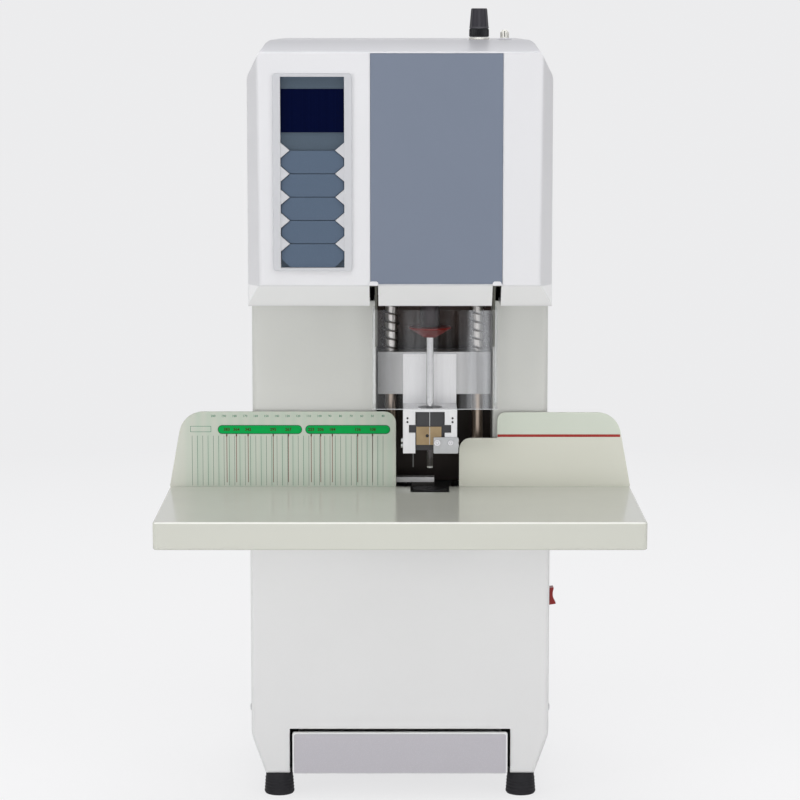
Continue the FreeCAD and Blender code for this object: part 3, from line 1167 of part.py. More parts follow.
spring_low = value("foot_plate_top") + value("seat_gap") + value("spring_wire")
spring_high = value("crosshead_level") - value("seat_gap") - value("spring_wire")
spring_shapes = []
for x in ("column_left", "column_right"):
    helix = Part.makeHelix((spring_high - spring_low) / value("spring_turns"),
                           spring_high - spring_low, value("spring_radius"))
    helix.translate(FreeCAD.Vector(value(x), value("column_y"), spring_low))
    start = FreeCAD.Vector(value(x) + value("spring_radius"), value("column_y"), spring_low)
    circle = Part.makeCircle(value("spring_wire"), start, FreeCAD.Vector(0, 1, 0))
    sweep = Part.BRepOffsetAPI.MakePipeShell(Part.Wire(helix))
    sweep.setFrenetMode(True)
    sweep.add(Part.Wire([circle]))
    sweep.build()
    sweep.makeSolid()
    spring_shapes.append(sweep.shape())
springs = doc.addObject("Part::Feature", "spring_set")
springs.Shape = Part.makeCompound(spring_shapes)
springs.Placement = FreeCAD.Placement()
subpart(springs, "press_springs")

# ---------------------------------------------------------------------------------------------
# Clear guard on two hinge arms
# ---------------------------------------------------------------------------------------------

guard_blank = block("guard_blank", ("guard_left", "guard_right"), ("guard_y", "guard_y + guard_depth"),
                    ("guard_bottom", "guard_top"))
guard_hollow = block("guard_hollow", ("guard_left + guard_wall", "guard_right - guard_wall"),
                     ("guard_y + guard_wall", "guard_y + guard_depth + 1"),
                     ("guard_bottom - 1", "guard_top + 1"))
guard = cut("guard", guard_blank, guard_hollow)
subpart(guard, "guard_shield")

arm_items = []
arm_low = "guard_top - arm_drop"
arm_outline = [
    ("hinge_y - arm_half", "hinge_level + arm_half"), ("hinge_y - arm_half", "hinge_level - 2"),
    ("guard_y + guard_wall", "guard_top + 0.5"), ("guard_y + guard_wall", arm_low),
    ("guard_y + guard_wall + 8", arm_low), ("guard_y + guard_wall + 8", "guard_top - 4"),
    ("hinge_y + arm_half", "hinge_level - 2"), ("hinge_y + arm_half", "hinge_level + arm_half"),
]
for name, low in (("left", "guard_left + guard_wall"), ("right", "guard_right - guard_wall - arm_thick")):
    strip = prism("arm_" + name, "YZ", arm_outline, low, "%s + arm_thick" % low,
                  [((0, 7), "arm_half * 0.9")])
    centre = "guard_left" if name == "left" else "guard_right"
    pin = rod("arm_pin_" + name, ("%s - 9" % centre, "hinge_y", "hinge_level"), "18",
              "hinge_pin_radius", "x")
    arm_items.append(fuse("arm_with_pin_" + name, strip, pin))
arms = group("arm_pair", *arm_items)
subpart(arms, "guard_arms")

# ---------------------------------------------------------------------------------------------
# Chip chute, drawer rails and chip drawer
# ---------------------------------------------------------------------------------------------


def chute_form(name, radius, over):
    """Straight pipe down the column, a slanting length, and a short end over the drawer."""
    top = ("chute_offset", "chute_y", "chute_bend")
    low_y = "(fence_y + chute_end_setback)"
    slant = doc.addObject("Part::Cylinder", name + "_slant")
    start = FreeCAD.Vector(value("chute_end_offset"), value("fence_y") + value("chute_end_setback"),
                           value("chute_low_bend"))
    finish = FreeCAD.Vector(value("chute_offset"), value("chute_y"), value("chute_bend"))
    slant.Placement = FreeCAD.Placement(
        start, FreeCAD.Rotation(FreeCAD.Vector(0, 0, 1), finish - start))
    slant.Height = (finish - start).Length
    bind(slant, Radius=radius)
    return fuse(
        name,
        rod(name + "_upper", top, "chute_mouth + %s - chute_bend" % over, radius),
        ball(name + "_knee", top, radius),
        slant,
        ball(name + "_ankle", ("chute_end_offset", low_y, "chute_low_bend"), radius),
        rod(name + "_end", ("chute_end_offset", low_y, "chute_end - %s" % over),
            "chute_low_bend - chute_end + %s" % over, radius),
    )


chute = cut("chute", chute_form("chute_outside", "chute_radius", "0"),
            chute_form("chute_inside", "chute_bore", "1"))
subpart(chute, "chip_chute")

rail_list = []
for name, sign in (("left", -1), ("right", 1)):
    inner = "tray_width / 2 + rail_gap"
    outer = inner + " + rail_sheet"
    ledge = "tray_width / 2 - rail_ledge"
    spans = (("-(%s)" % outer, "-(%s)" % inner), ("-(%s)" % outer, "-(%s)" % ledge))
    if sign > 0:
        spans = ((inner, outer), (ledge, outer))
    wall = block("rail_wall_" + name, spans[0], ("body_y + pan_depth + 1", "spine_y - 4"),
                 ("base_top", "base_top + rail_height"))
    floor = block("rail_floor_" + name, spans[1], ("body_y + pan_depth + 1", "spine_y - 4"),
                  ("base_top", "tray_bottom - cover_gap"))
    rail_list.append(fuse("rail_" + name, wall, floor))
rails = group("rail_pair", *rail_list)
subpart(rails, "drawer_rails")

tray_half = "tray_width / 2"
tray_outer = block("tray_outer", ("-(%s)" % tray_half, tray_half),
                   ("drawer_y + drawer_front_thick", "drawer_y + drawer_depth"),
                   ("tray_bottom", "tray_bottom + tray_height"))
tray_inner = block("tray_inner", ("-(%s - tray_wall)" % tray_half, "%s - tray_wall" % tray_half),
                   ("drawer_y + drawer_front_thick + 1", "drawer_y + drawer_depth - tray_wall"),
                   ("tray_bottom + tray_wall", "tray_bottom + tray_height + 1"))
drawer_face = prism("drawer_face", "XZ",
                    [("-(drawer_width / 2)", "foot_height + 0.3"), ("drawer_width / 2", "foot_height + 0.3"),
                     ("drawer_width / 2", "drawer_front_top"), ("-(drawer_width / 2)", "drawer_front_top")],
                    "drawer_y", "drawer_y + drawer_front_thick", [((0, 1, 2, 3), "2.5")])
drawer = fuse("drawer", cut("tray", tray_outer, tray_inner), drawer_face)
subpart(drawer, "chip_drawer")

# ---------------------------------------------------------------------------------------------
# Electrics: transformer, mains inlet, rocker switch
# ---------------------------------------------------------------------------------------------

core_right = "(frame_left - 12)"
core_left = "(%s - transformer_width)" % core_right
core_back = "(back_y - 30)"
core_front = "(%s - transformer_depth)" % core_back
iron = block("iron", (core_left, core_right), ("%s + 12" % core_front, "%s - 12" % core_back),
             ("base_top", "base_top + transformer_height"))
winding = block("winding", ("%s + 12" % core_left, "%s - 12" % core_right), (core_front, core_back),
                ("base_top + 11", "base_top + transformer_height - 11"))
transformer = fuse("power_unit", iron, winding)
subpart(transformer, "transformer")

inlet_flange = block("inlet_flange", ("-(inlet_offset + 15)", "-(inlet_offset - 15)"),
                     ("back_y - 2", "back_y"), ("inlet_level - 12", "inlet_level + 12"))
inlet_body = block("inlet_body", ("-(inlet_offset + 13.5)", "-(inlet_offset - 13.5)"),
                   ("back_y - 20", "back_y - 2"), ("inlet_level - 10", "inlet_level + 10"))
inlet_socket = block("inlet_socket", ("-(inlet_offset + 12)", "-(inlet_offset - 12)"),
                     ("back_y - 17", "back_y + 1"), ("inlet_level - 8", "inlet_level + 8"))
inlet_pins = []
for number, (x, z) in enumerate(((-7, -2), (0, 2), (7, -2))):
    inlet_pins.append(block("inlet_pin_%d" % number,
                            ("-inlet_offset + %d - 1" % x, "-inlet_offset + %d + 1" % x),
                            ("back_y - 18", "back_y - 6"),
                            ("inlet_level + %d - 2" % z, "inlet_level + %d + 2" % z)))
inlet = fuse("inlet", cut("inlet_shell", fuse("inlet_solid", inlet_flange, inlet_body), inlet_socket),
             *inlet_pins)
subpart(inlet, "power_inlet")

rocker_y = "(fence_y + rocker_setback)"
bezel_span = ("%s - rocker_width / 2 - rocker_frame" % rocker_y,
              "%s + rocker_width / 2 + rocker_frame" % rocker_y)
rocker_flange = block("rocker_flange", ("cabinet_half", "cabinet_half + 1.6"), bezel_span,
                      ("rocker_level - rocker_height / 2 - rocker_frame",
                       "rocker_level + rocker_height / 2 + rocker_frame"))
rocker_can = block("rocker_can", ("cabinet_half - 18", "cabinet_half"),
                   ("%s - rocker_width / 2 - 0.9" % rocker_y, "%s + rocker_width / 2 + 0.9" % rocker_y),
                   ("rocker_level - rocker_height / 2 - 0.9", "rocker_level + rocker_height / 2 + 0.9"))
rocker_well = block("rocker_well", ("cabinet_half - 8", "cabinet_half + 3"),
                    ("%s - rocker_width / 2" % rocker_y, "%s + rocker_width / 2" % rocker_y),
                    ("rocker_level - rocker_height / 2", "rocker_level + rocker_height / 2"))
pivot_hole = rod("pivot_hole", ("rocker_x", "%s - rocker_width" % rocker_y, "rocker_level"),
                 "rocker_width * 2", "rocker_pin + running_gap", "y")
rocker_bezel = cut("rocker_frame_part", fuse("rocker_solid", rocker_flange, rocker_can), rocker_well,
                   pivot_hole)
subpart(rocker_bezel, "rocker_bezel")

rocker_half = "(rocker_height / 2 - 1.1)"
rocker_form = prism("rocker_form", "XZ",
                    [("-rocker_back", "-%s" % rocker_half), ("rocker_rise", "-%s" % rocker_half),
                     ("rocker_dip", "0"), ("rocker_rise", rocker_half),
                     ("-rocker_back", rocker_half)],
                    "-(rocker_width / 2 - 0.5)", "rocker_width / 2 - 0.5",
                    [((2,), "14"), ((0, 1, 3, 4), "0.8")])
rocker_pivot = rod("rocker_pivot", ("0", "-(rocker_width / 2 + 0.7)", "0"), "rocker_width + 1.4",
                   "rocker_pin", "y")
rocker_key = fuse("rocker", rocker_form, rocker_pivot)
rocker_key.Placement = FreeCAD.Placement(
    FreeCAD.Vector(), FreeCAD.Rotation(FreeCAD.Vector(0, 1, 0), -value("rocker_tilt")))
place(rocker_key, "rocker_x", rocker_y, "rocker_level")
subpart(rocker_key, "rocker_key")

# ---------------------------------------------------------------------------------------------
# On top of the head: pressure knob in its bush, and the capped tube inlet
# ---------------------------------------------------------------------------------------------

bush_ring = rod("bush_ring", ("knob_offset", "knob_y", "head_top"), "bush_height", "bush_radius")
bush_stem = rod("bush_stem", ("knob_offset", "knob_y", "head_top - head_wall - 3"), "head_wall + 3",
                "knob_shaft_radius + 0.6")
bush_bore = rod("bush_bore", ("knob_offset", "knob_y", "head_top - 12"), "20",
                "knob_shaft_radius + running_gap")
bush = cut("bush", fuse("bush_blank", bush_ring, bush_stem), bush_bore)
cap_rod = rod("cap_rod", ("tube_inlet_offset", "knob_y", "head_top - head_wall"),
              "head_wall + tube_inlet_height - tube_inlet_radius * 0.6", "tube_inlet_radius - 1")
cap_sleeve = rod("cap_sleeve", ("tube_inlet_offset", "knob_y", "head_top"),
                 "tube_inlet_height - tube_inlet_radius * 0.6", "tube_inlet_radius")
cap_dome = taper("cap_dome", ("tube_inlet_offset", "knob_y",
                              "head_top + tube_inlet_height - tube_inlet_radius * 0.6"),
                 "tube_inlet_radius * 0.6", "tube_inlet_radius", "tube_inlet_radius * 0.45")
cap = fuse("cap", cap_rod, cap_sleeve, cap_dome)
fittings = group("fitting_pair", bush, cap)
subpart(fittings, "top_fittings")

knob_low = "(head_top + bush_height + cover_gap)"
knob_grip = rod("knob_grip_part", ("knob_offset", "knob_y", knob_low), "knob_grip", "knob_radius")
knob_cone = taper("knob_cone", ("knob_offset", "knob_y", "%s + knob_grip" % knob_low),
                  "knob_top - %s - knob_grip" % knob_low, "knob_radius - 0.5", "knob_tip_radius")
knob_shaft = rod("knob_shaft", ("knob_offset", "knob_y", "head_top - 22"), "24.5", "knob_shaft_radius")
knob = fuse("knob", knob_grip, knob_cone, knob_shaft)
subpart(knob, "adjust_knob")

# ---------------------------------------------------------------------------------------------
# Check and write
# ---------------------------------------------------------------------------------------------

doc.recompute()
for item in doc.Objects:
    if "Invalid" in item.State or "Error" in item.State:
        raise RuntimeError("%s did not build: %s" % (item.Name, item.State))
for item in subparts:
    if item.Shape.isNull() or not item.Shape.isValid() or not item.Shape.Solids:
        raise RuntimeError("%s has no valid solid" % item.Label)

os.makedirs("parts", exist_ok=True)
for item in subparts:
    item.Shape.exportStep(os.path.join("parts", item.Label + ".step"))
    print("%-22s %2d solid(s) %12.1f mm3" % (item.Label, len(item.Shape.Solids), item.Shape.Volume))
print(len(subparts), "sub-parts")
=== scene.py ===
import json
import math
import bmesh
import bpy
from mathutils import Matrix, Vector


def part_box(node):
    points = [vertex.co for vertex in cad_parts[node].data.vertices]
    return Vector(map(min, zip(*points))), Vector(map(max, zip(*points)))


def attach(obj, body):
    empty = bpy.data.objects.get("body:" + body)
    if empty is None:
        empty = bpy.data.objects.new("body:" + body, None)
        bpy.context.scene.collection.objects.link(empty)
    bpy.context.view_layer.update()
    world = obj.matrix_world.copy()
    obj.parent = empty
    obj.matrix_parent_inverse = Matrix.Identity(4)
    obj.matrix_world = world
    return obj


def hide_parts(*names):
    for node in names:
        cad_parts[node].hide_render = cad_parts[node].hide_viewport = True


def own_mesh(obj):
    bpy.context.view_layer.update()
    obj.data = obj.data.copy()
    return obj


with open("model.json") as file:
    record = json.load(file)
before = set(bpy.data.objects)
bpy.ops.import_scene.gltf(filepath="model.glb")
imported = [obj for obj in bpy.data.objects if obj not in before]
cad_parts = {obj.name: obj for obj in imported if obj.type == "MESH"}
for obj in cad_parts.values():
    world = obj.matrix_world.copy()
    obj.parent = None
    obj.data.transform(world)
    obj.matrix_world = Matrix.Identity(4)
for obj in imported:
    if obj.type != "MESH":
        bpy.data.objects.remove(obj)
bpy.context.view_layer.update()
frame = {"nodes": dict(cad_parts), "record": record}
nodes = frame["nodes"]
MM = 0.001

# ----------------------------------------------------------------------
# Frame: base plate, two C-shaped cheeks, lower platen, top plate and the arm under the table.
# Flame-cut steel plate, painted dark grey, bolted together inside the casing.


class Tone:
    """An output of a node that takes part in sums."""

    def __init__(self, owner, socket):
        self.owner = owner
        self.socket = socket

    def math(self, operation, first, second=0.0):
        return self.owner.add("ShaderNodeMath", {"operation": operation}, {0: first, 1: second})

    def __add__(self, other):
        return self.math("ADD", self, other)

    def __sub__(self, other):
        return self.math("SUBTRACT", self, other)

    def __rsub__(self, other):
        return self.math("SUBTRACT", other, self)

    def __mul__(self, other):
        return self.math("MULTIPLY", self, other)

    def __gt__(self, other):
        return self.math("GREATER_THAN", self, other)

    def __lt__(self, other):
        return self.math("LESS_THAN", self, other)

    def __pow__(self, other):
        return self.math("POWER", self, other)

    def __abs__(self):
        return self.math("ABSOLUTE", self)

    __radd__ = __add__
    __rmul__ = __mul__

    def other(self, name):
        """Another output of the same node."""
        return Tone(self.owner, self.socket.node.outputs[name])

    def within(self, low, high):
        """1 between two values, 0 outside them."""
        return (self > low) * (self < high)

    def rise(self, start, end):
        """0 before start, 1 after end, a straight ramp between them."""
        return self.owner.add("ShaderNodeMapRange", {"clamp": True},
                              {"Value": self, "From Min": start, "From Max": end})


class Nodes:
    """The nodes of one tree, for a finish or for a shape."""

    def __init__(self, tree):
        self.tree = tree

    def add(self, kind, settings=None, sockets=None, out=0):
        """A new node: its settings first, then the values or links of its inputs."""
        node = self.tree.nodes.new(kind)
        for name, setting in (settings or {}).items():
            setattr(node, name, setting)
        for name, amount in (sockets or {}).items():
            self.feed(node.inputs[name], amount)
        return Tone(self, node.outputs[out]) if node.outputs else None

    def feed(self, socket, amount):
        if isinstance(amount, Tone):
            self.tree.links.new(amount.socket, socket)
        else:
            socket.default_value = amount


class Finish(Nodes):
    """A surface finish: one Principled shader and the nodes that feed it."""

    def __init__(self, name, metallic=0.0, specular=0.5, coat=0.0):
        self.material = bpy.data.materials.new(name)
        self.material.use_nodes = True
        super().__init__(self.material.node_tree)
        self.shader = self.tree.nodes["Principled BSDF"]
        self.set("Metallic", metallic)
        self.set("Specular IOR Level", specular)
        self.set("Coat Weight", coat)

    def set(self, name, amount):
        self.feed(self.shader.inputs[name], amount)

    def place(self):
        return self.add("ShaderNodeTexCoord", out="Object")

    def axis(self, letter):
        """A point's X, Y or Z, in metres."""
        return self.add("ShaderNodeSeparateXYZ", None, {0: self.place()}, out=letter)

    def noise(self, scale, detail=3.0, stretch=None, distortion=0.0):
        where = self.place()
        if stretch:
            where = self.add("ShaderNodeMapping", None, {0: where, "Scale": stretch})
        return self.add("ShaderNodeTexNoise", {"noise_dimensions": "3D"},
                        {"Vector": where, "Scale": scale, "Detail": detail, "Distortion": distortion})

    def blend(self, factor, first, second):
        """A colour between two others."""
        return self.add("ShaderNodeMix", {"data_type": "RGBA"},
                        {0: factor, 6: first if isinstance(first, Tone) else (*first, 1.0),
                         7: second if isinstance(second, Tone) else (*second, 1.0)}, out=2)

    def tint(self, factor, first, second):
        """A base colour between two others."""
        self.set("Base Color", self.blend(factor, first, second))

    def relief(self, height, depth):
        """Bumps of a depth in metres."""
        bump = self.add("ShaderNodeBump", None, {"Strength": 1.0, "Distance": depth, "Height": height})
        self.set("Normal", bump)


def coated(name, color, roughness=0.42, grain=620.0, depth=0.06 * MM, tint=0.95, specular=0.5):
    """Powder coat or moulded plastic: fine orange peel, faint patches, handling marks."""
    finish = Finish(name, specular=specular)
    patch = finish.noise(9.0, 4.0)
    smear = finish.noise(26.0, stretch=(1.0, 1.0, 0.3), distortion=0.6)
    darker = tuple(part * tint for part in color)
    finish.tint((patch - 0.35) * 2.2, darker, color)
    finish.set("Roughness", smear * 0.12 + (roughness - 0.06))
    finish.relief(finish.noise(grain, 2.0), depth)
    return finish


def dress(finish, *names):
    """Give CAD nodes their finish."""
    for name in names:
        slots = nodes[name].data.materials
        slots.clear()
        slots.append(finish.material)


frame_paint = coated("frame_paint", (0.055, 0.058, 0.062), 0.48, grain=380.0, depth=0.1 * MM, tint=0.7)
dress(frame_paint, "base_plate", "frame_cheeks", "lower_platen", "top_plate", "anvil_arm")

# ----------------------------------------------------------------------
# Feet: four hard rubber cones, moulded with rings round them and pushed on to studs in the
# base plate. They bloom a little with age.


def shown(name, data, material=None):
    """An object at the origin with a mesh or other data, all in one material if given."""
    if material:
        data.materials.clear()
        data.materials.append(material)
    item = bpy.data.objects.new(name, data)
    bpy.context.scene.collection.objects.link(item)
    return item


def set_down(name, shape):
    """A mesh from a bmesh, which is then done with."""
    mesh = bpy.data.meshes.new(name)
    shape.to_mesh(mesh)
    shape.free()
    return mesh


def settle(name, shape, material, sharp=30.0):
    """Turn a bmesh into an object at the origin, smooth up to an angle."""
    bmesh.ops.recalc_face_normals(shape, faces=shape.faces)
    for edge in shape.edges:
        edge.smooth = len(edge.link_faces) == 2 and edge.calc_face_angle(0.0) < math.radians(sharp)
    for face in shape.faces:
        face.smooth = True
    return shown(name, set_down(name, shape), material)


def band(shape, lower, upper):
    """A band of faces between two rings of vertices."""
    for step in range(len(lower)):
        following = (step + 1) % len(lower)
        shape.faces.new((lower[step], lower[following], upper[following], upper[step]))


def stack(shape, rings):
    """Rings of vertices from rings of points, each joined to the next by a band."""
    loops = [[shape.verts.new(point) for point in ring] for ring in rings]
    for lower, upper in zip(loops, loops[1:]):
        band(shape, lower, upper)
    return loops


def lathe(name, rings, material, sharp=30.0, hollow=False):
    """A closed mesh from rings of points. A hollow one's last ring joins its first."""
    shape = bmesh.new()
    loops = stack(shape, rings)
    if hollow:
        band(shape, loops[-1], loops[0])
    else:
        shape.faces.new(reversed(loops[0]))
        shape.faces.new(loops[-1])
    return settle(name, shape, material, sharp)


def circle(x, y, z, radius, count=48, flutes=0, depth=0.0):
    """A ring of points in a level plane, with flutes if wanted."""
    ring = []
    for step in range(count):
        turn = 2 * math.pi * step / count
        reach = radius - depth * (0.5 - 0.5 * math.cos(flutes * turn)) if flutes else radius
        ring.append((x + reach * math.cos(turn), y + reach * math.sin(turn), z))
    return ring


def join(name, pieces):
    """Several objects as one mesh, with the first one's material."""
    shape = bmesh.new()
    material = pieces[0].data.materials[0]
    for piece in pieces:
        shape.from_mesh(piece.data)
        bpy.data.objects.remove(piece)
    return shown(name, set_down(name, shape), material)


def mount(piece, body, slot, *replaced):
    """Ride on a body and stand for CAD nodes. The slot is not used."""
    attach(piece, body)
    for name in replaced:
        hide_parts(name)
    return piece


rubber = Finish("foot_rubber", specular=0.25)
bloom = rubber.noise(60.0, 5.0)
rubber.tint(bloom, (0.010, 0.010, 0.012), (0.030, 0.029, 0.033))
rubber.set("Roughness", bloom * 0.25 + 0.55)
rubber.relief(rubber.noise(900.0), 0.1 * MM)
foot_radius = 14.5 * MM
# Shares of the radius and of the height, from the sole up.
FOOT_PROFILE = ((0.35, 0.0), (0.93, 0.0), (0.99, 0.06), (1.0, 0.12), (0.96, 0.2), (0.985, 0.26),
                (0.94, 0.34), (0.97, 0.40), (0.925, 0.48), (0.955, 0.54), (0.91, 0.62), (0.94, 0.68),
                (0.895, 0.76), (0.9, 0.95), (0.87, 1.0))
low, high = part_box("feet")
foot_list = []
for x in (low.x + foot_radius, high.x - foot_radius):
    for y in (low.y + foot_radius, high.y - foot_radius):
        rings = [circle(x, y, high.z * part, foot_radius * wide) for wide, part in FOOT_PROFILE]
        foot_list.append(lathe("foot", rings, rubber.material))
mount(join("rubber_feet", foot_list), "machine", "rubber", "feet")

# ----------------------------------------------------------------------
# Casing: cabinet pan, side and rear panels, column covers. Folded sheet steel, 2.5 mm, with a
# light grey powder coat; the cut edges are rounded by the coat.


def merged(node):
    """A CAD node's loose triangles as one shape."""
    shape = bmesh.new()
    shape.from_mesh(nodes[node].data)
    bmesh.ops.remove_doubles(shape, verts=shape.verts, dist=0.002 * MM)
    return shape


def soften(piece, width, segments=2, angle=30.0):
    """Round the edges of a piece that turn by more than an angle."""
    bevel = piece.modifiers.new("edge", "BEVEL")
    bevel.width = width
    bevel.segments = segments
    bevel.limit_method = "ANGLE"
    bevel.angle_limit = math.radians(angle)
    return piece


def eased(node, name, material, width, angle=32.0, segments=3, broad=None):
    """A copy of a CAD solid with its sharp edges rounded over, some of them broadly."""
    flat_angle = math.radians(0.4)
    broad_radius = 4 * MM
    shape = merged(node)
    bmesh.ops.dissolve_limit(shape, angle_limit=flat_angle, verts=shape.verts, edges=shape.edges,
                             delimit={"NORMAL"})
    if broad:
        chosen = [edge for edge in shape.edges if broad(*[vertex.co for vertex in edge.verts])]
        bmesh.ops.bevel(shape, geom=chosen, offset=broad_radius, segments=6, profile=0.5, affect="EDGES")
    mesh = set_down(name, shape)
    mesh.shade_smooth()
    item = soften(shown(name, mesh, material), width, segments, angle)
    item.modifiers["edge"].miter_outer = "MITER_ARC"
    level = item.modifiers.new("flats", "WEIGHTED_NORMAL")
    level.keep_sharp = True
    level.weight = 90
    return item


def body_of(node):
    """The CAD body that a node rides on."""
    groups = frame["record"]["behaviour"]["bodies"]
    return [body for body, members in groups.items() if node in members][0]


def slot_of(node):
    """The record's material slot of a node."""
    return [item["material_slot"] for item in frame["record"]["subparts"] if item["node"] == node][0]


def skin(node, finish, width, **shape):
    """Put an eased copy in a node's place."""
    piece = eased(node, node + "_skin", finish.material, width, **shape)
    return mount(piece, body_of(node), slot_of(node), node)


cover = Finish("cover_coat")
patch = cover.noise(7.0, 4.0)
smear = cover.noise(20.0, stretch=(1.0, 1.0, 0.25), distortion=0.8)
cover.tint((patch - 0.35) * 2.0, (0.73, 0.73, 0.735), (0.76, 0.76, 0.765))
cover.set("Roughness", smear * 0.14 + 0.33)
cover.relief(cover.noise(640.0, 2.0), 0.06 * MM)
column = coated("column_coat", (0.575, 0.58, 0.555), tint=0.97)
skin("cabinet_front_cover", cover, 0.7 * MM)
dress(cover, "cabinet_left_side", "cabinet_right_side", "rear_panel")
for node in ("column_left_cover", "column_right_cover"):
    skin(node, column, 0.7 * MM)

# ----------------------------------------------------------------------
# Fixing screws of the covers and fences: zinc-plated pan heads with a cross recess, driven
# into captive nuts behind the sheet.


def evaluated(item):
    """The plain mesh that an object's modifiers or letters make. The object itself goes."""
    bpy.context.view_layer.update()
    ready = item.evaluated_get(bpy.context.evaluated_depsgraph_get())
    mesh = bpy.data.meshes.new_from_object(ready)
    bpy.data.objects.remove(item)
    return mesh


def grown(name, spots, tree, values, material):
    """A plain mesh of what a node tree makes from a list of points."""
    points = bpy.data.meshes.new(name + "_spots")
    points.from_pydata(spots, [], [])
    seed = shown(name + "_seed", points)
    growth = seed.modifiers.new("growth", "NODES")
    growth.node_group = tree
    for item in tree.interface.items_tree:
        if item.in_out == "INPUT" and item.name in values:
            growth[item.identifier] = values[item.name]
    mesh = evaluated(seed)
    mesh.name = name
    return shown(name, mesh, material)


def planting(name, inputs, shape, material):
    """A tree that plants one shape on every point. Its named inputs size the shape."""
    tree = bpy.data.node_groups.new(name, "GeometryNodeTree")
    tree.interface.new_socket("Geometry", in_out="OUTPUT", socket_type="NodeSocketGeometry")
    for title, kind in {"Geometry": "NodeSocketGeometry", **inputs}.items():
        tree.interface.new_socket(title, in_out="INPUT", socket_type=kind)
    plan = Nodes(tree)
    points = plan.add("NodeGroupInput", out="Geometry")
    sockets = {"Points": points, **shape(plan, points.other)}
    planted = plan.add("GeometryNodeInstanceOnPoints", None, sockets)
    solid = plan.add("GeometryNodeRealizeInstances", None, {0: planted})
    painted = plan.add("GeometryNodeSetMaterial", None, {0: solid, "Material": material})
    plan.add("NodeGroupOutput", None, {0: painted})
    return tree


def islands(node):
    """The lowest and highest corners and the points of each loose solid of a node."""
    shape = merged(node)
    waiting = set(shape.verts)
    found = []
    while waiting:
        points = []
        reached = [waiting.pop()]
        while reached:
            vertex = reached.pop()
            points.append(vertex.co.copy())
            for edge in vertex.link_edges:
                beyond = edge.other_vert(vertex)
                if beyond in waiting:
                    waiting.discard(beyond)
                    reached.append(beyond)
        low, high = [Vector([pick(part) for part in zip(*points)]) for pick in (min, max)]
        found.append((low, high, points))
    shape.free()
    return sorted(found, key=lambda entry: tuple(round(part, 6) for part in entry[0]))


def pan_head(name, material):
    """A screw along Z with its head's seat at the origin, sizes in millimetres."""
    shape = bmesh.new()
    profile = ((1.9, -8), (1.9, 0), (3.6, 0), (3.6, 0.9), (3.35, 1.4), (2.8, 1.75), (2.2, 1.95))
    loops = stack(shape, [circle(0, 0, z * MM, radius * MM, 20) for radius, z in profile])
    shape.faces.new(reversed(loops[0]))
    arm, half = 1.7, 0.42
    top, bottom, narrower = 1.97, 0.8, 0.8
    cross = ((arm, -half), (arm, half), (half, half), (half, arm), (-half, arm), (-half, half),
             (-arm, half), (-arm, -half), (-half, -half), (-half, -arm), (half, -arm), (half, -half))
    rim = [shape.verts.new((x * MM, y * MM, top * MM)) for x, y in cross]
    pit = [shape.verts.new((x * narrower * MM, y * narrower * MM, bottom * MM)) for x, y in cross]
    edges = []
    for loop in (loops[-1], rim):
        for step, vertex in enumerate(loop):
            ends = (vertex, loop[(step + 1) % len(loop)])
            edges.append(shape.edges.get(ends) or shape.edges.new(ends))
    bmesh.ops.bridge_loops(shape, edges=edges)
    band(shape, rim, pit)
    shape.faces.new(pit)
    return settle(name, shape, material)


def plant_screw(plan, given):
    """The screw, turned the way its cover faces."""
    screw = plan.add("GeometryNodeObjectInfo", None, {"Object": given("Screw")}, out="Geometry")
    return {"Instance": screw, "Rotation": given("Turn")}


def seat_of(low, high, points):
    """Which way a CAD screw's wide end faces, and the middle of its head's seat."""
    head_height = 2.0 * MM
    middle = (low + high) / 2
    size = high - low
    along = max(range(3), key=lambda axis: size[axis])
    across = [axis for axis in range(3) if axis != along]

    def radius_at(end):
        """The screw's radius at the low or the high end."""
        near = [point for point in points if abs(point[along] - end) < 0.1 * MM]
        return max(math.dist([point[axis] for axis in across], [middle[axis] for axis in across])
                   for point in near)

    sign = 1 if radius_at(high[along]) > radius_at(low[along]) else -1
    middle[along] = (high if sign > 0 else low)[along] - sign * head_height
    return tuple(sign if axis == along else 0 for axis in range(3)), middle


zinc = Finish("zinc_plate", metallic=1.0)
zinc.tint(zinc.noise(70.0, 4.0), (0.50, 0.51, 0.52), (0.70, 0.71, 0.72))
zinc.set("Roughness", zinc.noise(120.0) * 0.25 + 0.24)
zinc.relief(zinc.noise(500.0), 0.03 * MM)
screw_inputs = {"Screw": "NodeSocketObject", "Turn": "NodeSocketVector"}
screw_tree = planting("screws", screw_inputs, plant_screw, zinc.material)
pattern = pan_head("screw_pattern", zinc.material)
facing = {}
for low, high, points in islands("panel_screws"):
    outward, seat = seat_of(low, high, points)
    facing.setdefault(outward, []).append(seat)
screw_sets = []
for outward, seats in facing.items():
    turn = tuple(Vector(outward).to_track_quat("Z", "Y").to_euler())
    sizes = {"Screw": pattern, "Turn": turn}
    screw_sets.append(grown("screw_set", seats, screw_tree, sizes, zinc.material))
bpy.data.objects.remove(pattern)
mount(join("cover_screws", screw_sets), "machine", "plated_steel", "panel_screws")

# ----------------------------------------------------------------------
# Plate at the back of the throat: sheet steel, sprayed matt brown-black, clipped between the
# column covers.

soot = coated("throat_black", (0.040, 0.029, 0.024), 0.5, grain=300.0, depth=0.1 * MM, tint=0.45,
              specular=0.3)
plate_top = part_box("throat_back_plate")[1].z
# The plate is painted lighter and browner towards its top.
upper_mottle = soot.noise(40.0, 4.0, stretch=(1.0, 1.0, 0.2))
upper_brown = soot.blend(upper_mottle, (0.030, 0.019, 0.015), (0.085, 0.052, 0.043))
lower_black = soot.blend(soot.noise(9.0, 4.0), (0.018, 0.013, 0.011), (0.040, 0.029, 0.024))
towards_top = soot.axis("Z").rise(plate_top - 48.5 * MM, plate_top - 23.5 * MM)
soot.tint(towards_top, lower_black, upper_brown)
dress(soot, "throat_back_plate")

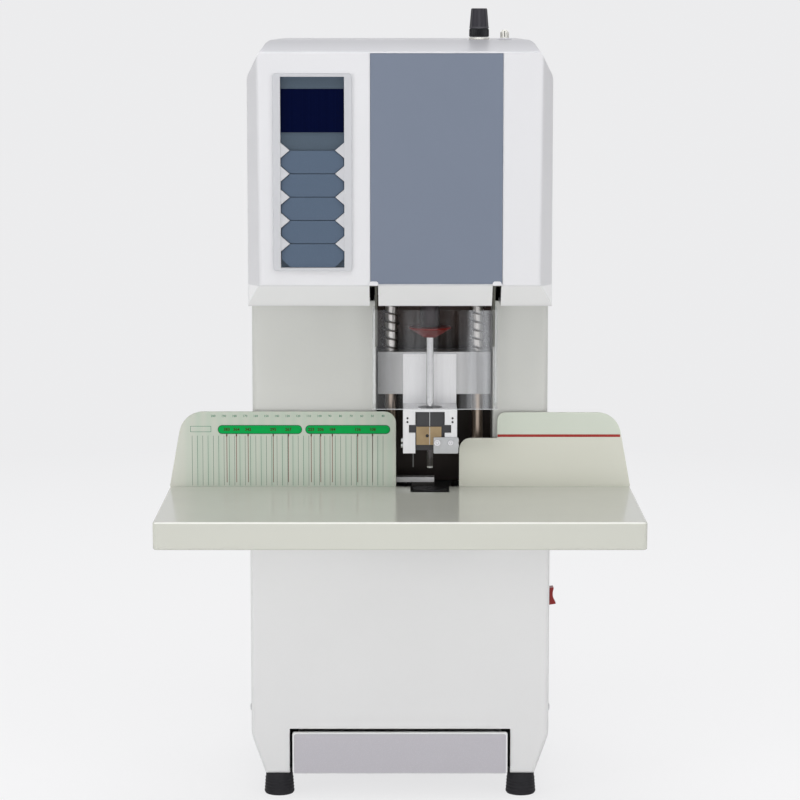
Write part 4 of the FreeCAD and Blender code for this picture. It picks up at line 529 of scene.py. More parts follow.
# ----------------------------------------------------------------------
# Head shell: two vacuum-formed halves in cool white plastic, and the lintel between the slots.
# The forming tool leaves soft bright rounds, and a small cap closes the top of each slot.

shell = Finish("shell_white", coat=0.12)
shell_low, shell_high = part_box("head_front_cover")
lintel_low, lintel_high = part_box("throat_lintel")
face_y, shell_top, chin_z = shell_low.y, shell_high.z, lintel_high.z
height, depth = shell.axis("Z"), shell.axis("Y")
face = shell.blend((shell.noise(5.0) - 0.3) * 1.8, (0.635, 0.635, 0.655), (0.665, 0.665, 0.685))
# Below the chin level and near the front, the shell is painted lighter as painted light on the down-facing
# chin.
under = 1 - height.rise(chin_z - 1.0 * MM, chin_z)
in_front = 1 - depth.rise(face_y + 20 * MM, face_y + 23 * MM)
face_with_chin_light = shell.blend(under * in_front, face, (0.82, 0.82, 0.83))
# The top 11.5 mm of the shell, the brow and the top facet, is painted darker towards the top as painted
# shade.
brow_shade_ramp = height.rise(shell_top - 9.5 * MM, shell_top - 2.5 * MM)
brow_painted_shade = shell.blend(brow_shade_ramp, (0.63, 0.63, 0.665), (0.51, 0.51, 0.54))
above = height.rise(shell_top - 11.5 * MM, shell_top - 10.0 * MM)
shell.tint(above, face_with_chin_light, brow_painted_shade)
shell.set("Roughness", shell.noise(17.0, 4.0, distortion=0.5) * 0.12 + 0.28)
shell.relief(shell.noise(480.0, 2.0), 0.05 * MM)


def face_side(first, second):
    """The long upright edges where the face meets the side bevels."""
    upright = abs(first.x - second.x) < 1 * MM and abs(first.z - second.z) > 60 * MM
    on_face = max(first.y, second.y) < face_y + 0.3 * MM
    outermost = abs(first.x) > 120 * MM
    return upright and on_face and outermost


skin("head_front_cover", shell, 0.9 * MM, angle=20.0, broad=face_side)
skin("head_rear_cover", shell, 0.8 * MM)
skin("throat_lintel", shell, 0.9 * MM)


def plate(name, outline, front, thickness, material, hole=None):
    """A flat plate from an outline of (x, z) points facing the operator, with a hole if given."""
    shape = bmesh.new()
    edges = (outline, hole) if hole else (outline,)
    walls = [stack(shape, [[(x, y, z) for x, z in edge] for y in (front, front + thickness)])
             for edge in edges]
    for loops in zip(*walls):
        if hole:
            band(shape, *loops)
        else:
            shape.faces.new(loops[0])
    return settle(name, shape, material)


def rounded(x0, z0, x1, z1, radius, steps=8, low_radius=None):
    """The outline of a rectangle with round corners, from sizes in millimetres."""
    low_radius = radius if low_radius is None else low_radius
    points = []
    corners = ((x1, z0, -1, 1, -90, low_radius), (x1, z1, -1, -1, 0, radius),
               (x0, z1, 1, -1, 90, radius), (x0, z0, 1, 1, 180, low_radius))
    for x, z, inward_x, inward_z, start, reach in corners:
        for step in range(steps + 1):
            turn = math.radians(start + 90 * step / steps)
            points.append(((x + inward_x * reach + reach * math.cos(turn)) * MM,
                           (z + inward_z * reach + reach * math.sin(turn)) * MM))
    return points


slot_half = 4.0
cap_half, cap_height, cap_round = 4.1, 3.9, 2.3
slot_top = chin_z / MM
for side, x in (("left", lintel_low.x / MM - slot_half), ("right", lintel_high.x / MM + slot_half)):
    outline = rounded(x - cap_half, slot_top, x + cap_half, slot_top + cap_height, cap_round,
                      low_radius=0.2)
    cap = plate("slot_cap_" + side, outline, face_y - 1.9 * MM, 2.4 * MM, shell.material)
    mount(soften(cap, 0.7 * MM, 3), "machine", "head_shell")

# ----------------------------------------------------------------------
# Front panel: aluminium sheet with a satin slate lacquer, pressed into the shell's rebate and
# held there by tape behind its edges.

slate = Finish("slate_lacquer", specular=0.25)
slate.tint(slate.noise(14.0), (0.155, 0.182, 0.238), (0.165, 0.193, 0.252))
slate.set("Roughness", slate.noise(22.0) * 0.1 + 0.38)
slate.relief(slate.noise(900.0, 2.0), 0.03 * MM)
skin("front_panel", slate, 0.35 * MM)

# ----------------------------------------------------------------------
# Control panel: pale moulded bezel with teeth between the keys, a printed facia, the screen's
# window, five keys and the circuit board behind them.

bezel = coated("bezel_moulding", (0.505, 0.51, 0.535), 0.36, tint=0.97)
skin("display_bezel", bezel, 0.45 * MM, angle=40.0)


def printed_film(name, color):
    """Satin film with the fine dots of its printing."""
    film = Finish(name, specular=0.25)
    dots = film.add("ShaderNodeTexVoronoi", {"feature": "F1"}, {"Vector": film.place(), "Scale": 900.0})
    lighter = tuple(part * 1.12 for part in color)
    film.tint((dots < 0.35) * 0.5, color, lighter)
    film.set("Roughness", film.noise(30.0) * 0.15 + 0.33)
    film.relief(film.noise(700.0, 2.0), 0.03 * MM)
    return film


dress(printed_film("facia_film", (0.060, 0.085, 0.115)), "keypad_facia")
key_film = printed_film("key_film", (0.072, 0.104, 0.155))
for number in range(1, 6):
    skin("key_%d" % number, key_film, 0.12 * MM, segments=2)

window = Finish("screen_window", specular=0.02)
window.set("Roughness", window.noise(40.0) * 0.1 + 0.08)
cells = window.add("ShaderNodeTexBrick", {"offset": 0.0},
                   {"Vector": window.place(), "Color1": (0.0005, 0.002, 0.020, 1),
                    "Color2": (0.001, 0.003, 0.024, 1), "Mortar": (0.0005, 0.001, 0.012, 1),
                    "Scale": 900.0})
window.set("Base Color", cells)
skin("display_window", window, 0.3 * MM, segments=2)

laminate = Finish("circuit_laminate")
laminate.set("Roughness", 0.45)
tracks = laminate.add("ShaderNodeTexBrick", {"offset": 0.35},
                      {"Vector": laminate.place(), "Color1": (0.02, 0.16, 0.07, 1),
                       "Color2": (0.015, 0.12, 0.05, 1), "Mortar": (0.05, 0.26, 0.12, 1), "Scale": 220.0})
laminate.set("Base Color", tracks)
laminate.relief(laminate.noise(400.0), 0.05 * MM)
dress(laminate, "control_board")

# ----------------------------------------------------------------------
# Paper table: a sheet-steel tray folded down 25 mm all round, warm grey smooth gloss coat,
# polished a little further by sliding paper.

TABLE_SHADES = ((0.54, 0.545, 0.49), (0.565, 0.57, 0.515))
table_coat = Finish("table_coat")
flat = table_coat.blend((table_coat.noise(6.0, 4.0) - 0.3) * 2.0, *TABLE_SHADES)
table_low, table_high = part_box("table")
highlight_size = 1.3 * MM
# A 1.3 mm band along the front top fold is painted pale as a painted highlight.
fold_painted_highlight = (table_coat.axis("Z") > table_high.z - highlight_size) * (table_coat.axis("Y") < table_low.y + highlight_size)
table_coat.tint(fold_painted_highlight, flat, (0.80, 0.80, 0.76))
table_coat.set("Roughness", table_coat.noise(12.0, 4.0) * 0.08 + 0.11)
table_coat.relief(table_coat.noise(300.0, 2.0), 0.005 * MM)
skin("table", table_coat, 1.1 * MM)

# ----------------------------------------------------------------------
# Left fence: upright paper guide of folded sheet with a green-tinted scale printed on its face,
# numbered every 10 mm, with fine rules every 5 mm and two bars of paper lengths.

left_low, left_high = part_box("left_fence")
fence_front = left_low.y
face_depth = fence_front + 0.4 * MM
drill_x = sum(corner.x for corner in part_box("hollow_drill")) / 2
INK = 0.06 * MM
print_front = fence_front - INK
over_print = print_front - INK / 2

scale_coat = Finish("scale_coat", specular=0.4)
tinted = scale_coat.axis("X").rise(left_low.x + 3.5 * MM, left_low.x + 27.5 * MM)
on_print = tinted * (scale_coat.axis("Y") < face_depth)
bands = scale_coat.add("ShaderNodeTexWave", {"wave_type": "BANDS", "bands_direction": "X"},
                       {"Vector": scale_coat.place(), "Scale": 31.4, "Distortion": 0.4})
wash = scale_coat.blend(bands, (0.44, 0.50, 0.425), (0.475, 0.505, 0.44))
coat = scale_coat.blend(scale_coat.noise(6.0, 4.0), *TABLE_SHADES)
scale_coat.tint(on_print, coat, wash)
scale_coat.set("Roughness", scale_coat.noise(120.0) * 0.16 + 0.28)
scale_coat.relief(scale_coat.noise(640.0, 2.0), 0.05 * MM)
skin("left_fence", scale_coat, 0.5 * MM)


def ink(name, color, roughness=0.5):
    """Screen-printing ink: slightly uneven, thinner in places."""
    finish = Finish(name, specular=0.1)
    thin = finish.noise(240.0, 4.0)
    paler = tuple(part * 1.15 + 0.003 for part in color)
    finish.tint(thin * 0.35, color, paler)
    finish.set("Roughness", thin * 0.2 + (roughness - 0.1))
    return finish.material


def plant_strip(plan, given):
    """A flat upright strip as thick as the ink."""
    size = plan.add("ShaderNodeCombineXYZ", None, {"X": given("Width"), "Y": INK, "Z": given("Height")})
    return {"Instance": plan.add("GeometryNodeMeshCube", None, {"Size": size}, out="Mesh")}


def printed(piece):
    """Put a print on its fence."""
    mount(piece, "machine", "table_paint")


def strips(name, places, low_z, high_z, width, material):
    """Thin upright lines at places across the face."""
    sizes = {"Width": width, "Height": high_z - low_z}
    tree = planting(name, {title: "NodeSocketFloat" for title in sizes}, plant_strip, material)
    spots = [(x * MM, fence_front - INK / 2, (low_z + high_z) / 2) for x in places]
    printed(grown(name, spots, tree, sizes, material))


def numeral(name, text, x, z, size, front, material, stroke):
    """Plain digits as a thin mesh, centred on a point of an upright face."""
    curve = bpy.data.curves.new(name, "FONT")
    curve.body = text
    curve.size = size
    curve.extrude = INK / 2
    curve.offset = stroke
    curve.align_x = "CENTER"
    curve.align_y = "CENTER"
    curve.resolution_u = 2
    mesh = evaluated(shown(name, curve))
    upright = Matrix.Rotation(math.radians(90), 4, "X")
    mesh.transform(Matrix.Translation((x, front - INK / 2, z)) @ upright)
    return shown(name, mesh, material)


green = ink("green_ink", (0.001, 0.31, 0.060))
dark_green = ink("dark_green_ink", (0.02, 0.13, 0.06))
soft_green = ink("soft_green_ink", (0.12, 0.21, 0.155))
number_green = ink("number_green_ink", (0.05, 0.19, 0.12))
dark_red = ink("dark_red_ink", (0.13, 0.02, 0.018))
dark_brown = ink("dark_brown_ink", (0.045, 0.014, 0.010))
soft_red = ink("soft_red_ink", (0.17, 0.065, 0.050))
red = ink("red_ink", (0.30, 0.035, 0.03))
bar_low = left_low.z / MM + 50.1
bar_high = bar_low + 8.6
# Places across the face, in millimetres.
SIZE_MARKS = (-163.3, -154.2, -143.2, -119.5, -105.3, -83.7, -74.8, -63.8, -39.9, -25.9)
SIZE_BARS = ((-171.8, -92.2), (-89.3, -9.2))
rule_low = left_low.z + 1.0 * MM
rule_high = (bar_low - 1.5) * MM
first_rule, rule_gap, rule_count = -16.0, 5.0, 37
rule_places = [first_rule - rule_gap * step for step in range(rule_count)]
strips("green_rules", rule_places, rule_low, rule_high, 0.42 * MM, soft_green)
strips("red_rules", SIZE_MARKS, rule_low + 3 * MM, bar_low * MM, 0.55 * MM, soft_red)
strips("red_rule_heads", SIZE_MARKS, (bar_low - 2.2) * MM, bar_low * MM, 1.2 * MM, dark_red)
scale_zero = 24.0
scale_z = left_high.z - 4.3 * MM
digits = []
for mark in range(40, 201, 10):
    digits.append(numeral("scale_%d" % mark, str(mark), (scale_zero - mark) * MM, scale_z, 3.0 * MM,
                          fence_front, number_green, 0.05 * MM))
printed(join("scale_numbers", digits))
bar_round, bar_rim = 4.2, 0.8
for number, (start, end) in enumerate(SIZE_BARS):
    outer = rounded(start, bar_low, end, bar_high, bar_round)
    inner = rounded(start + bar_rim, bar_low + bar_rim, end - bar_rim, bar_high - bar_rim,
                    bar_round - bar_rim)
    printed(plate("size_bar_rim_%d" % number, outer, print_front, INK, dark_green))
    printed(plate("size_bar_%d" % number, inner, over_print, INK, green))
bar_z = (bar_low + bar_high) / 2 * MM
sizes = []
for number, x in enumerate(SIZE_MARKS):
    paper_length = str(round((drill_x / MM - x) * 2))
    sizes.append(numeral("size_%d" % number, paper_length, x * MM, bar_z, 4.0 * MM, over_print,
                         dark_brown, 0.1 * MM))
printed(join("size_numbers", sizes))
box_left, box_right, box_low, box_high, box_line = -197.7, -178.0, bar_low + 1.9, bar_low + 7.6, 0.4
box_outer = rounded(box_left, box_low, box_right, box_high, 0.6, 3)
box_inner = rounded(box_left + box_line, box_low + box_line, box_right - box_line, box_high - box_line,
                    0.4, 3)
printed(plate("scale_key_box", box_outer, print_front, INK, number_green, box_inner))

# ----------------------------------------------------------------------
# Right fence: stepped upright guide in the table's coat with a screen-printed limit line; the
# strip above the line has a greener tint.

limit_coat = Finish("limit_coat", coat=0.1)
right_low, right_high = [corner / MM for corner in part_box("right_fence")]
line_low, line_high = right_high.z - 23.5, right_high.z - 21.0
above = (limit_coat.axis("Z") > line_high * MM) * (limit_coat.axis("Y") < face_depth)
coat = limit_coat.blend(limit_coat.noise(6.0, 4.0), (0.555, 0.56, 0.49), (0.585, 0.585, 0.515))
limit_coat.tint(above, coat, (0.54, 0.58, 0.505))
limit_coat.set("Roughness", limit_coat.noise(120.0) * 0.16 + 0.26)
limit_coat.relief(limit_coat.noise(640.0, 2.0), 0.05 * MM)
skin("right_fence", limit_coat, 0.5 * MM)
line_edge = rounded(right_low.x + 36.1, line_low, right_high.x - 9.9, line_high, 0.3, 2)
printed(plate("limit_line", line_edge, print_front, INK, red))

# ----------------------------------------------------------------------
# Drill feed and electrics inside the head and cabinet: ground steel columns and screw, cast
# aluminium crosshead, enamelled motors, grey plastic pipe.


def ground_steel(name, color, roughness=0.22, along=(1.0, 1.0, 0.03), scale=900.0):
    """Ground or turned steel with fine marks along one way."""
    finish = Finish(name, metallic=1.0)
    lines = finish.noise(scale, stretch=along)
    finish.tint(lines * 0.6, color, tuple(part * 0.82 for part in color))
    finish.set("Roughness", lines * 0.2 + (roughness - 0.08))
    finish.relief(lines, 0.02 * MM)
    return finish


polished = ground_steel("polished_steel", (0.78, 0.78, 0.80), 0.16, along=(0.02, 0.02, 1.0))
dress(polished, "lead_screw")
blacked = ground_steel("blackened_steel", (0.055, 0.047, 0.050), 0.3, along=(0.02, 0.02, 1.0))
dress(blacked, "drill_spindle")
column_steel = ground_steel("column_steel_painted_reflection", (0.50, 0.45, 0.41), 0.3, along=(1.0, 1.0, 0.02))
column_low, column_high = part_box("guide_columns")
column_x = (column_low.x + column_high.x) / 2
film = column_steel.noise(80.0, stretch=(1.0, 1.0, 0.1))
upper_steel = column_steel.blend(film * 0.6, (0.82, 0.80, 0.78), (0.62, 0.58, 0.55))
brown_painted_reflection = column_steel.blend(film, (0.40, 0.31, 0.24), (0.52, 0.44, 0.38))
# The lower part of each column is painted brown as a painted reflection, fading out between 117 and 147 mm
# up.
reflection_ramp = column_steel.axis("Z").rise(column_low.z + 117 * MM, column_low.z + 147 * MM)
column_steel.tint(reflection_ramp, brown_painted_reflection, upper_steel)
dress(column_steel, "guide_columns")
dress(ground_steel("race_steel", (0.6, 0.6, 0.62)), "spindle_bearings")
cast = ground_steel("cast_aluminium", (0.56, 0.57, 0.58), 0.4, along=(1, 1, 1), scale=300.0)
dress(cast, "crosshead")
brass = Finish("brass", metallic=0.9)
stain = brass.noise(90.0, 4.0, distortion=0.4)
brass.tint(stain, (0.50, 0.38, 0.225), (0.33, 0.235, 0.135))
brass.set("Roughness", stain * 0.25 + 0.3)
dress(brass, "lead_nut", "brass_plate")
enamel = coated("motor_enamel", (0.02, 0.02, 0.022), 0.35, tint=0.7)
dress(enamel, "lift_motor", "drill_motor", "transformer")
pipe = coated("pipe_plastic", (0.24, 0.25, 0.26))
dress(pipe, "chip_spout", "chip_chute")
# Zinc painted dark grey as painted shade, for the guard arms that sit in shade inside the slots; the
# drawer rails share it.
painted_shade_zinc = ground_steel("zinc_painted_shade", (0.20, 0.20, 0.185), 0.4, along=(1, 1, 1), scale=200.0)
dress(painted_shade_zinc, "drawer_rails", "guard_arms")

# ----------------------------------------------------------------------
# Hollow drill: a ground steel tube, bright above and painted dark over its cutting end as a painted
# reflection of dark surroundings, with a bright ground lip.

tool = Finish("drill_steel", metallic=1.0)
lines = tool.noise(700.0, stretch=(0.02, 0.02, 1.0))
height = tool.axis("Z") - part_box("hollow_drill")[0].z
end_painted_reflection = height.rise(23.5 * MM, 18.5 * MM) * height.rise(1 * MM, 2 * MM)
bright = tool.blend(lines * 0.6, (0.68, 0.68, 0.69), (0.50, 0.50, 0.515))
tool.tint(end_painted_reflection, bright, (0.085, 0.08, 0.08))
tool.set("Roughness", lines * 0.12 + 0.06)
tool.relief(lines, 0.02 * MM)
dress(tool, "hollow_drill")

# ----------------------------------------------------------------------
# Splash collar: a shallow cone of red plastic, pressed on to the spindle's nose, that throws
# chips clear. Its upper rim is blackened.

collar_red = Finish("collar_red", specular=0.08)
rim_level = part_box("drill_collar")[1].z - 0.2 * MM
swirl = collar_red.noise(60.0)
red_tone = collar_red.blend(swirl, (0.085, 0.005, 0.003), (0.15, 0.008, 0.005))
rim = collar_red.axis("Z") > rim_level
collar_red.tint(rim, red_tone, (0.05, 0.04, 0.04))
collar_red.set("Roughness", swirl * 0.2 + 0.35)
skin("drill_collar", collar_red, 0.4 * MM)

# ----------------------------------------------------------------------
# Press foot: a folded, nickel-plated bracket with a black heater block, a brass face plate
# and a clamp plate on two screws. The wide plate behind the neck is painted darker than the neck,
# and darker still towards its sides, as painted shade.

satin = Finish("satin_plate", metallic=0.7)
rolled = satin.noise(260.0, stretch=(1.0, 1.0, 0.08))
neck_back = -9.8 * MM
leg_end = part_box("clamp_plate")[0].z - 0.2 * MM
flank_shade_ramp = abs(satin.axis("X") - column_x).rise(24 * MM, 56 * MM)
plate_painted_shade = satin.blend(flank_shade_ramp, (0.56, 0.56, 0.565), (0.16, 0.16, 0.16))
bright = satin.blend(rolled, (0.72, 0.72, 0.73), (0.84, 0.84, 0.85))
plated = satin.blend(satin.axis("Y") > neck_back, bright, plate_painted_shade)
satin.tint(satin.axis("Z") < leg_end, plated, (0.12, 0.12, 0.12))
satin.set("Roughness", rolled * 0.18 + 0.28)
satin.relief(rolled, 0.02 * MM)
skin("press_bracket", satin, 0.3 * MM, segments=2)
anodised = coated("black_anodised", (0.042, 0.041, 0.045), 0.4, grain=900.0, depth=0.04 * MM, tint=0.6)
skin("heater_block", anodised, 0.3 * MM, segments=2)
skin("clamp_plate", zinc, 0.3 * MM, segments=2)
skin("foot_screws", polished, 0.25 * MM, segments=2)
block_low, block_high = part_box("heater_block")
brass_low, brass_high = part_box("brass_plate")
# A thin pale zinc strip is laid down the brass plate and the heater block.
pale_line_left, pale_line_right = 27.45, 28.0
for name, front, low_z, high_z in (("seam_on_brass", brass_low.y, brass_low.z, brass_high.z),
                                   ("seam_on_block", block_low.y, brass_high.z, block_high.z)):
    outline = rounded(pale_line_left, low_z / MM + 0.2, pale_line_right, high_z / MM - 0.3, 0.2, 2)
    pale_line = plate(name, outline, front - INK, INK, zinc.material)
    mount(pale_line, "press_foot", "plated_steel")

# ----------------------------------------------------------------------
# Return springs: oiled spring wire, wound cold, round each column between the press foot and
# the crosshead. On the machine they close up as the foot rises; here they are one rigid mesh.


def plant_coil(plan, given):
    """A wire swept along a spiral."""
    radius = given("Coil Radius")
    spiral = plan.add("GeometryNodeCurveSpiral", None,
                      {"Resolution": 40, "Rotations": given("Turns"), "Start Radius": radius,
                       "End Radius": radius, "Height": given("Length")}, out="Curve")
    section = plan.add("GeometryNodeCurvePrimitiveCircle", None,
                       {"Resolution": 10, "Radius": given("Wire Radius")}, out="Curve")
    sweep = {"Curve": spiral, "Profile Curve": section, "Fill Caps": True}
    return {"Instance": plan.add("GeometryNodeCurveToMesh", None, sweep, out="Mesh")}


spring_wire = ground_steel("spring_wire", (0.20, 0.175, 0.155), 0.3, along=(1, 1, 1), scale=1200.0)
low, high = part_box("press_springs")
wire = 0.8 * MM
coil = 7.2 * MM
spring_sizes = {"Turns": 11.0, "Coil Radius": coil, "Wire Radius": wire,
                "Length": high.z - low.z - 2 * wire}
spring_tree = planting("springs", {title: "NodeSocketFloat" for title in spring_sizes}, plant_coil,
                       spring_wire.material)
spring_y = (low.y + high.y) / 2
seats = [(x, spring_y, low.z + wire) for x in (low.x + wire + coil, high.x - wire - coil)]
springs = grown("return_springs", seats, spring_tree, spring_sizes, spring_wire.material)
springs.data.shade_smooth()
mount(springs, "crosshead", "spring_steel", "press_springs")
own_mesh(springs)

# ----------------------------------------------------------------------
# Lower die: a dark polymer cutting pad on its pin, and the bar that clamps it. The bar's
# post is blackened.

polymer = coated("pad_polymer", (0.02, 0.02, 0.021), 0.5, tint=0.6, specular=0.25)
skin("cutting_pad", polymer, 0.4 * MM)
bar_steel = Finish("bar_steel", metallic=0.6)
clamp_low, clamp_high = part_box("die_clamp_bar")
milled = bar_steel.noise(300.0, stretch=(0.08, 1.0, 1.0))
# The bar's face is painted lighter towards the right as painted light.
lit = bar_steel.axis("X").rise(clamp_low.x + 11.6 * MM, clamp_low.x + 39.6 * MM)
bar_face = bar_steel.blend(lit, (0.34, 0.34, 0.34), (0.62, 0.62, 0.62))
not_post = bar_steel.axis("Z") < clamp_high.z - 5 * MM
bar_steel.tint(not_post, bar_face, (0.045, 0.043, 0.040))
bar_steel.set("Roughness", milled * 0.2 + 0.26)
bar_steel.relief(milled, 0.02 * MM)
skin("die_clamp_bar", bar_steel, 0.3 * MM, segments=2)

# ----------------------------------------------------------------------
# Guard: a U of clear acrylic, hung from two steel arms, their zinc plate painted dark grey as painted
# shade. Its saw-cut edges are flame-polished; the lower and rear ones are painted pale as a painted
# highlight.

acrylic = Finish("clear_acrylic", specular=0.28)
acrylic.set("Base Color", (0.78, 0.80, 0.84, 1.0))
guard_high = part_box("guard_shield")[1]
grazing = acrylic.add("ShaderNodeLayerWeight", None, {"Blend": 0.25}, out="Facing")
# Upright whitish streaks in the alpha, stronger over the right side, are painted reflections.
streak_painted_reflection = acrylic.noise(95.0, 2.0, stretch=(1.0, 1.0, 0.02))
right_reflection_ramp = acrylic.axis("X").rise(guard_high.x - 40.4 * MM, guard_high.x - 24.4 * MM)
acrylic.set("Alpha", grazing * grazing * 0.6 + (streak_painted_reflection - 0.45) * (right_reflection_ramp * 0.75 + 0.12) + 0.015)
acrylic.set("Roughness", acrylic.noise(30.0, 4.0) * 0.08 + 0.02)
# The lower and rear edge faces get a pale, half-opaque finish as a painted highlight.
painted_edge_highlight = Finish("guard_edge_painted_highlight")
painted_edge_highlight.set("Base Color", (0.76, 0.78, 0.80, 1.0))
painted_edge_highlight.set("Alpha", painted_edge_highlight.noise(140.0) * 0.2 + 0.45)
painted_edge_highlight.set("Roughness", painted_edge_highlight.noise(90.0) * 0.1 + 0.06)
shield_mesh = evaluated(eased("guard_shield", "guard_form", acrylic.material, 0.5 * MM, segments=2))
shield_mesh.name = "guard_shield_skin"
shield_mesh.materials.append(painted_edge_highlight.material)
for polygon in shield_mesh.polygons:
    lower_edge = polygon.normal.z < -0.3
    rear_edge = polygon.normal.y > 0.3 and polygon.center.y > guard_high.y - 0.8 * MM
    if lower_edge or rear_edge:
        polygon.material_index = 1
mount(shown("guard_shield_skin", shield_mesh), "guard", "guard_clear", "guard_shield")

# ----------------------------------------------------------------------
# Chip drawer: folded sheet in the covers' coat. A bright raised rim is glued round its front,
# with a lavender-grey film inside it.

skin("chip_drawer", cover, 0.6 * MM)
drawer_low, drawer_high = [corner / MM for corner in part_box("chip_drawer")]
rim_paint = coated("drawer_rim", (0.84, 0.84, 0.85), 0.35, tint=0.97)
front_film = printed_film("drawer_film", (0.51, 0.495, 0.535))
drawer_front = drawer_low.y * MM


def inset(side, foot, radius, low_radius):
    """An outline that stays inside the drawer's front, by as much at the top as at the sides."""
    return rounded(drawer_low.x + side, drawer_low.z + foot, drawer_high.x - side, drawer_high.z - side,
                   radius, low_radius=low_radius)


rim_outer = inset(0.3, 0.4, 3.4, 1.2)
rim_inner = inset(1.6, 1.0, 2.4, 0.8)
raised = plate("drawer_rim", rim_outer, drawer_front - 0.7 * MM, 0.9 * MM, rim_paint.material, rim_inner)
mount(soften(raised, 0.25 * MM), "drawer", "cover_paint")
film_piece = plate("drawer_film", rim_inner, drawer_front - 0.15 * MM, 0.3 * MM, front_film.material)
mount(film_piece, "drawer", "cover_paint")

# ----------------------------------------------------------------------
# Mains inlet and rocker switch: black mouldings that snap into the sheet, and a red rocker
# on pins in its bezel.

black = coated("black_moulding", (0.02, 0.02, 0.022), tint=0.7, specular=0.35)
dress(black, "power_inlet")
skin("rocker_bezel", black, 0.3 * MM, segments=2)
rocker = Finish("rocker_red", specular=0.35)
rocker.set("Roughness", rocker.noise(80.0) * 0.15 + 0.22)
rocker.tint(rocker.noise(50.0), (0.25, 0.010, 0.010), (0.34, 0.02, 0.018))
skin("rocker_key", rocker, 0.3 * MM, segments=2)

# ----------------------------------------------------------------------
# Top fittings: a nickel-plated bush screwed in under the knob, and a capped nickel tube that
# stands in a pale gasket ring. A dark line down the tube's front is a painted reflection.

tube_low, tube_high = islands("top_fittings")[-1][:2]
tube_x, tube_y = (tube_low.x + tube_high.x) / 2, (tube_low.y + tube_high.y) / 2
nickel = ground_steel("bright_nickel", (0.86, 0.84, 0.76), along=(1, 1, 0.05))
# The dark line down the middle of the tube is a painted reflection.
reflection_line_width = abs(nickel.axis("X") - tube_x) < 0.45 * MM
slot = reflection_line_width * nickel.axis("Z").within(shell_top + 2.5 * MM, tube_high.z - 1.2 * MM)
nickel.tint(slot, (0.90, 0.89, 0.83), (0.10, 0.10, 0.09))
nickel.set("Metallic", 0.55)
skin("top_fittings", nickel, 0.3 * MM, segments=2)
gasket = coated("gasket_ring", (0.66, 0.66, 0.70), 0.45)
# Radius and level, in millimetres.
GASKET_PROFILE = ((4.4, 0.0), (6.4, 0.0), (6.5, 0.4), (6.0, 0.9), (5.2, 1.3), (4.4, 1.5))
gasket_rings = [circle(tube_x, tube_y, shell_top + level * MM, radius * MM)
                for radius, level in GASKET_PROFILE]
gasket_ring = lathe("tube_gasket", gasket_rings, gasket.material, hollow=True)
mount(gasket_ring, "machine", "inlet_metal")

# ----------------------------------------------------------------------
# Pressure knob: black moulded plastic, a fluted grip at the foot, a raised line over it and
# a faceted taper with a shallow cap.

knob_plastic = coated("knob_plastic", (0.022, 0.022, 0.024), 0.38, tint=0.7, specular=0.45)
low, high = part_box("adjust_knob")
knob_x, knob_y = (low.x + high.x) / 2, (low.y + high.y) / 2
base_z = shell_top + 2.3 * MM
# Radius, level, number of flutes and their depth, in millimetres.
KNOB_PROFILE = ((7.8, 0.0, 30, 0.0), (8.8, 0.3, 30, 0.6), (9.15, 0.9, 30, 0.8), (9.1, 6.6, 30, 0.8),
                (8.9, 7.1, 30, 0.4), (8.5, 7.3, 0, 0.0), (8.5, 7.7, 0, 0.0), (9.0, 7.9, 0, 0.0),
                (9.0, 9.1, 0, 0.0), (8.8, 9.4, 8, 0.4), (7.5, 24.6, 8, 0.5), (7.3, 25.4, 8, 0.4),
                (6.8, 25.9, 0, 0.0), (6.1, 25.6, 0, 0.0), (4.4, 25.5, 0, 0.0))
knob_top = max(level for radius, level, flutes, depth in KNOB_PROFILE)
unit = (high.z - base_z) / knob_top
height = knob_plastic.axis("Z")
worn = knob_plastic.noise(40.0)
taper = knob_plastic.blend(worn, (0.024, 0.023, 0.029), (0.033, 0.031, 0.038))
over_grip = height > base_z + 7.75 * unit
line = knob_plastic.blend(over_grip, (0.010, 0.011, 0.013), (0.060, 0.058, 0.066))
over_line = height > base_z + 9.25 * unit
knob_plastic.tint(over_line, line, taper)
knob_rings = [circle(knob_x, knob_y, base_z + level * unit, radius * MM, 120, flutes, depth * MM)
              for radius, level, flutes, depth in KNOB_PROFILE]
knob = lathe("pressure_knob", knob_rings, knob_plastic.material, sharp=40.0)
mount(knob, "knob", "knob_plastic", "adjust_knob")

# ----------------------------------------------------------------------
# Studio: a pale floor that fades into pale surroundings, four soft lamps that leave no glare,
# and a camera in front of the machine, as high as its knob.

PALE = (0.84, 0.84, 0.85, 1.0)
floor_paint = Finish("studio_floor", specular=0.1)
floor_paint.set("Base Color", (0.74, 0.74, 0.74, 1.0))
floor_paint.set("Roughness", 0.9)
near_end, far_start = 0.8, 2.2
glow_part = 0.7
strength = 1.25
path = floor_paint.add("ShaderNodeLightPath", out="Is Camera Ray")
across, away = floor_paint.axis("X"), floor_paint.axis("Y")
far = path * ((across * across + away * away) ** 0.5).rise(near_end, far_start)
even = floor_paint.blend(far, PALE[:3], tuple(part / strength for part in PALE[:3]))
glow = floor_paint.add("ShaderNodeEmission", None, {"Color": even, "Strength": strength})
seen = (path + path.other("Is Glossy Ray") + path.other("Is Transmission Ray")) > 0.5
painted = Tone(floor_paint, floor_paint.shader.outputs[0])
surface = floor_paint.add("ShaderNodeMixShader", None,
                          {0: seen * glow_part + far * (1 - glow_part), 1: painted, 2: glow})
floor_paint.feed(floor_paint.tree.nodes["Material Output"].inputs["Surface"], surface)
floor_half = 9.0
floor_corners = [(-floor_half, -floor_half, 0), (floor_half, -floor_half, 0),
                 (floor_half, floor_half, 0), (-floor_half, floor_half, 0)]
floor_mesh = bpy.data.meshes.new("floor")
floor_mesh.from_pydata(floor_corners, [], [(0, 1, 2, 3)])
floor_mesh.materials.append(floor_paint.material)
shown("floor", floor_mesh)

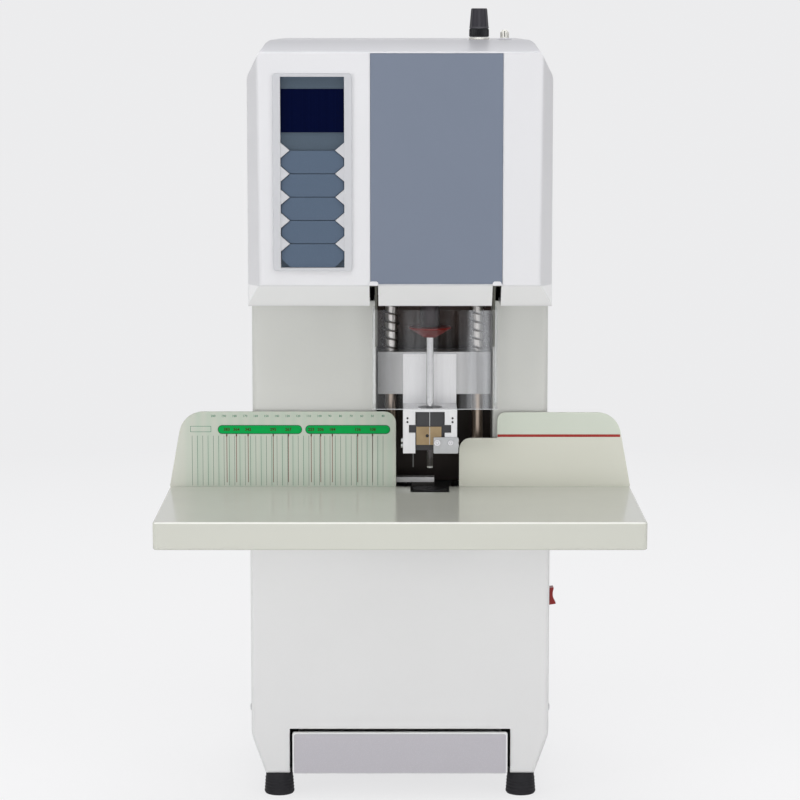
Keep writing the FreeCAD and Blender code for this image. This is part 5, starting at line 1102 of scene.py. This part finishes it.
world = bpy.data.worlds.new("studio")
bpy.context.scene.world = world
world.use_nodes = True
sky = Nodes(world.node_tree)
direction = sky.add("ShaderNodeTexCoord", out="Generated")
sideways = sky.add("ShaderNodeSeparateXYZ", None, {0: direction}, out="X")
dark_sides = abs(sideways).rise(0.45, 0.85)
path = sky.add("ShaderNodeLightPath", out="Is Camera Ray")
mirrored = (path.other("Is Glossy Ray") + path.other("Is Transmission Ray")) > 0.5
ambient = sky.add("ShaderNodeBackground", None, {"Color": (1, 1, 1, 1), "Strength": 0.50})
backdrop = sky.add("ShaderNodeBackground", None, {"Color": PALE, "Strength": 1.0})
flags = sky.add("ShaderNodeBackground", None, {"Color": (0.16, 0.16, 0.165, 1), "Strength": 1.0})
reflected = sky.add("ShaderNodeMixShader", None, {0: dark_sides, 1: backdrop, 2: flags})
unseen = sky.add("ShaderNodeMixShader", None, {0: mirrored, 1: ambient, 2: reflected})
whole = sky.add("ShaderNodeMixShader", None, {0: path, 1: unseen, 2: backdrop})
sky.feed(world.node_tree.nodes["World Output"].inputs["Surface"], whole)
bpy.context.scene.view_settings.view_transform = "Standard"


def lamp(name, place, aim, size, power):
    """A soft rectangular lamp that the glossy pieces don't mirror."""
    light = bpy.data.lights.new(name, "AREA")
    light.shape = "RECTANGLE"
    light.size, light.size_y = size
    light.energy = power
    holder = shown(name, light)
    holder.location = place
    holder.rotation_euler = (Vector(aim) - Vector(place)).to_track_quat("-Z", "Y").to_euler()
    holder.visible_glossy = False


lamp("front_light", (0, -3.4, 0.28), (0, 0, 0.34), (3.2, 0.7), 27.5)
lamp("left_light", (-2.4, -1.7, 0.45), (0, 0, 0.45), (1.2, 1.0), 24)
lamp("right_light", (2.4, -1.7, 0.45), (0, 0, 0.45), (1.2, 1.0), 17)
lamp("top_light", (0, -0.9, 2.4), (0, 0, 0.4), (1.6, 1.2), 19)

camera_data = bpy.data.cameras.new("front_camera")
camera_data.lens = 125.55
camera_data.sensor_width = 36
camera_tilt = 7.7157
camera = shown("front_camera", camera_data)
camera.location = (0, -2.624, 0.738)
camera.rotation_euler = (math.radians(90 - camera_tilt), 0, 0)
bpy.context.scene.camera = camera
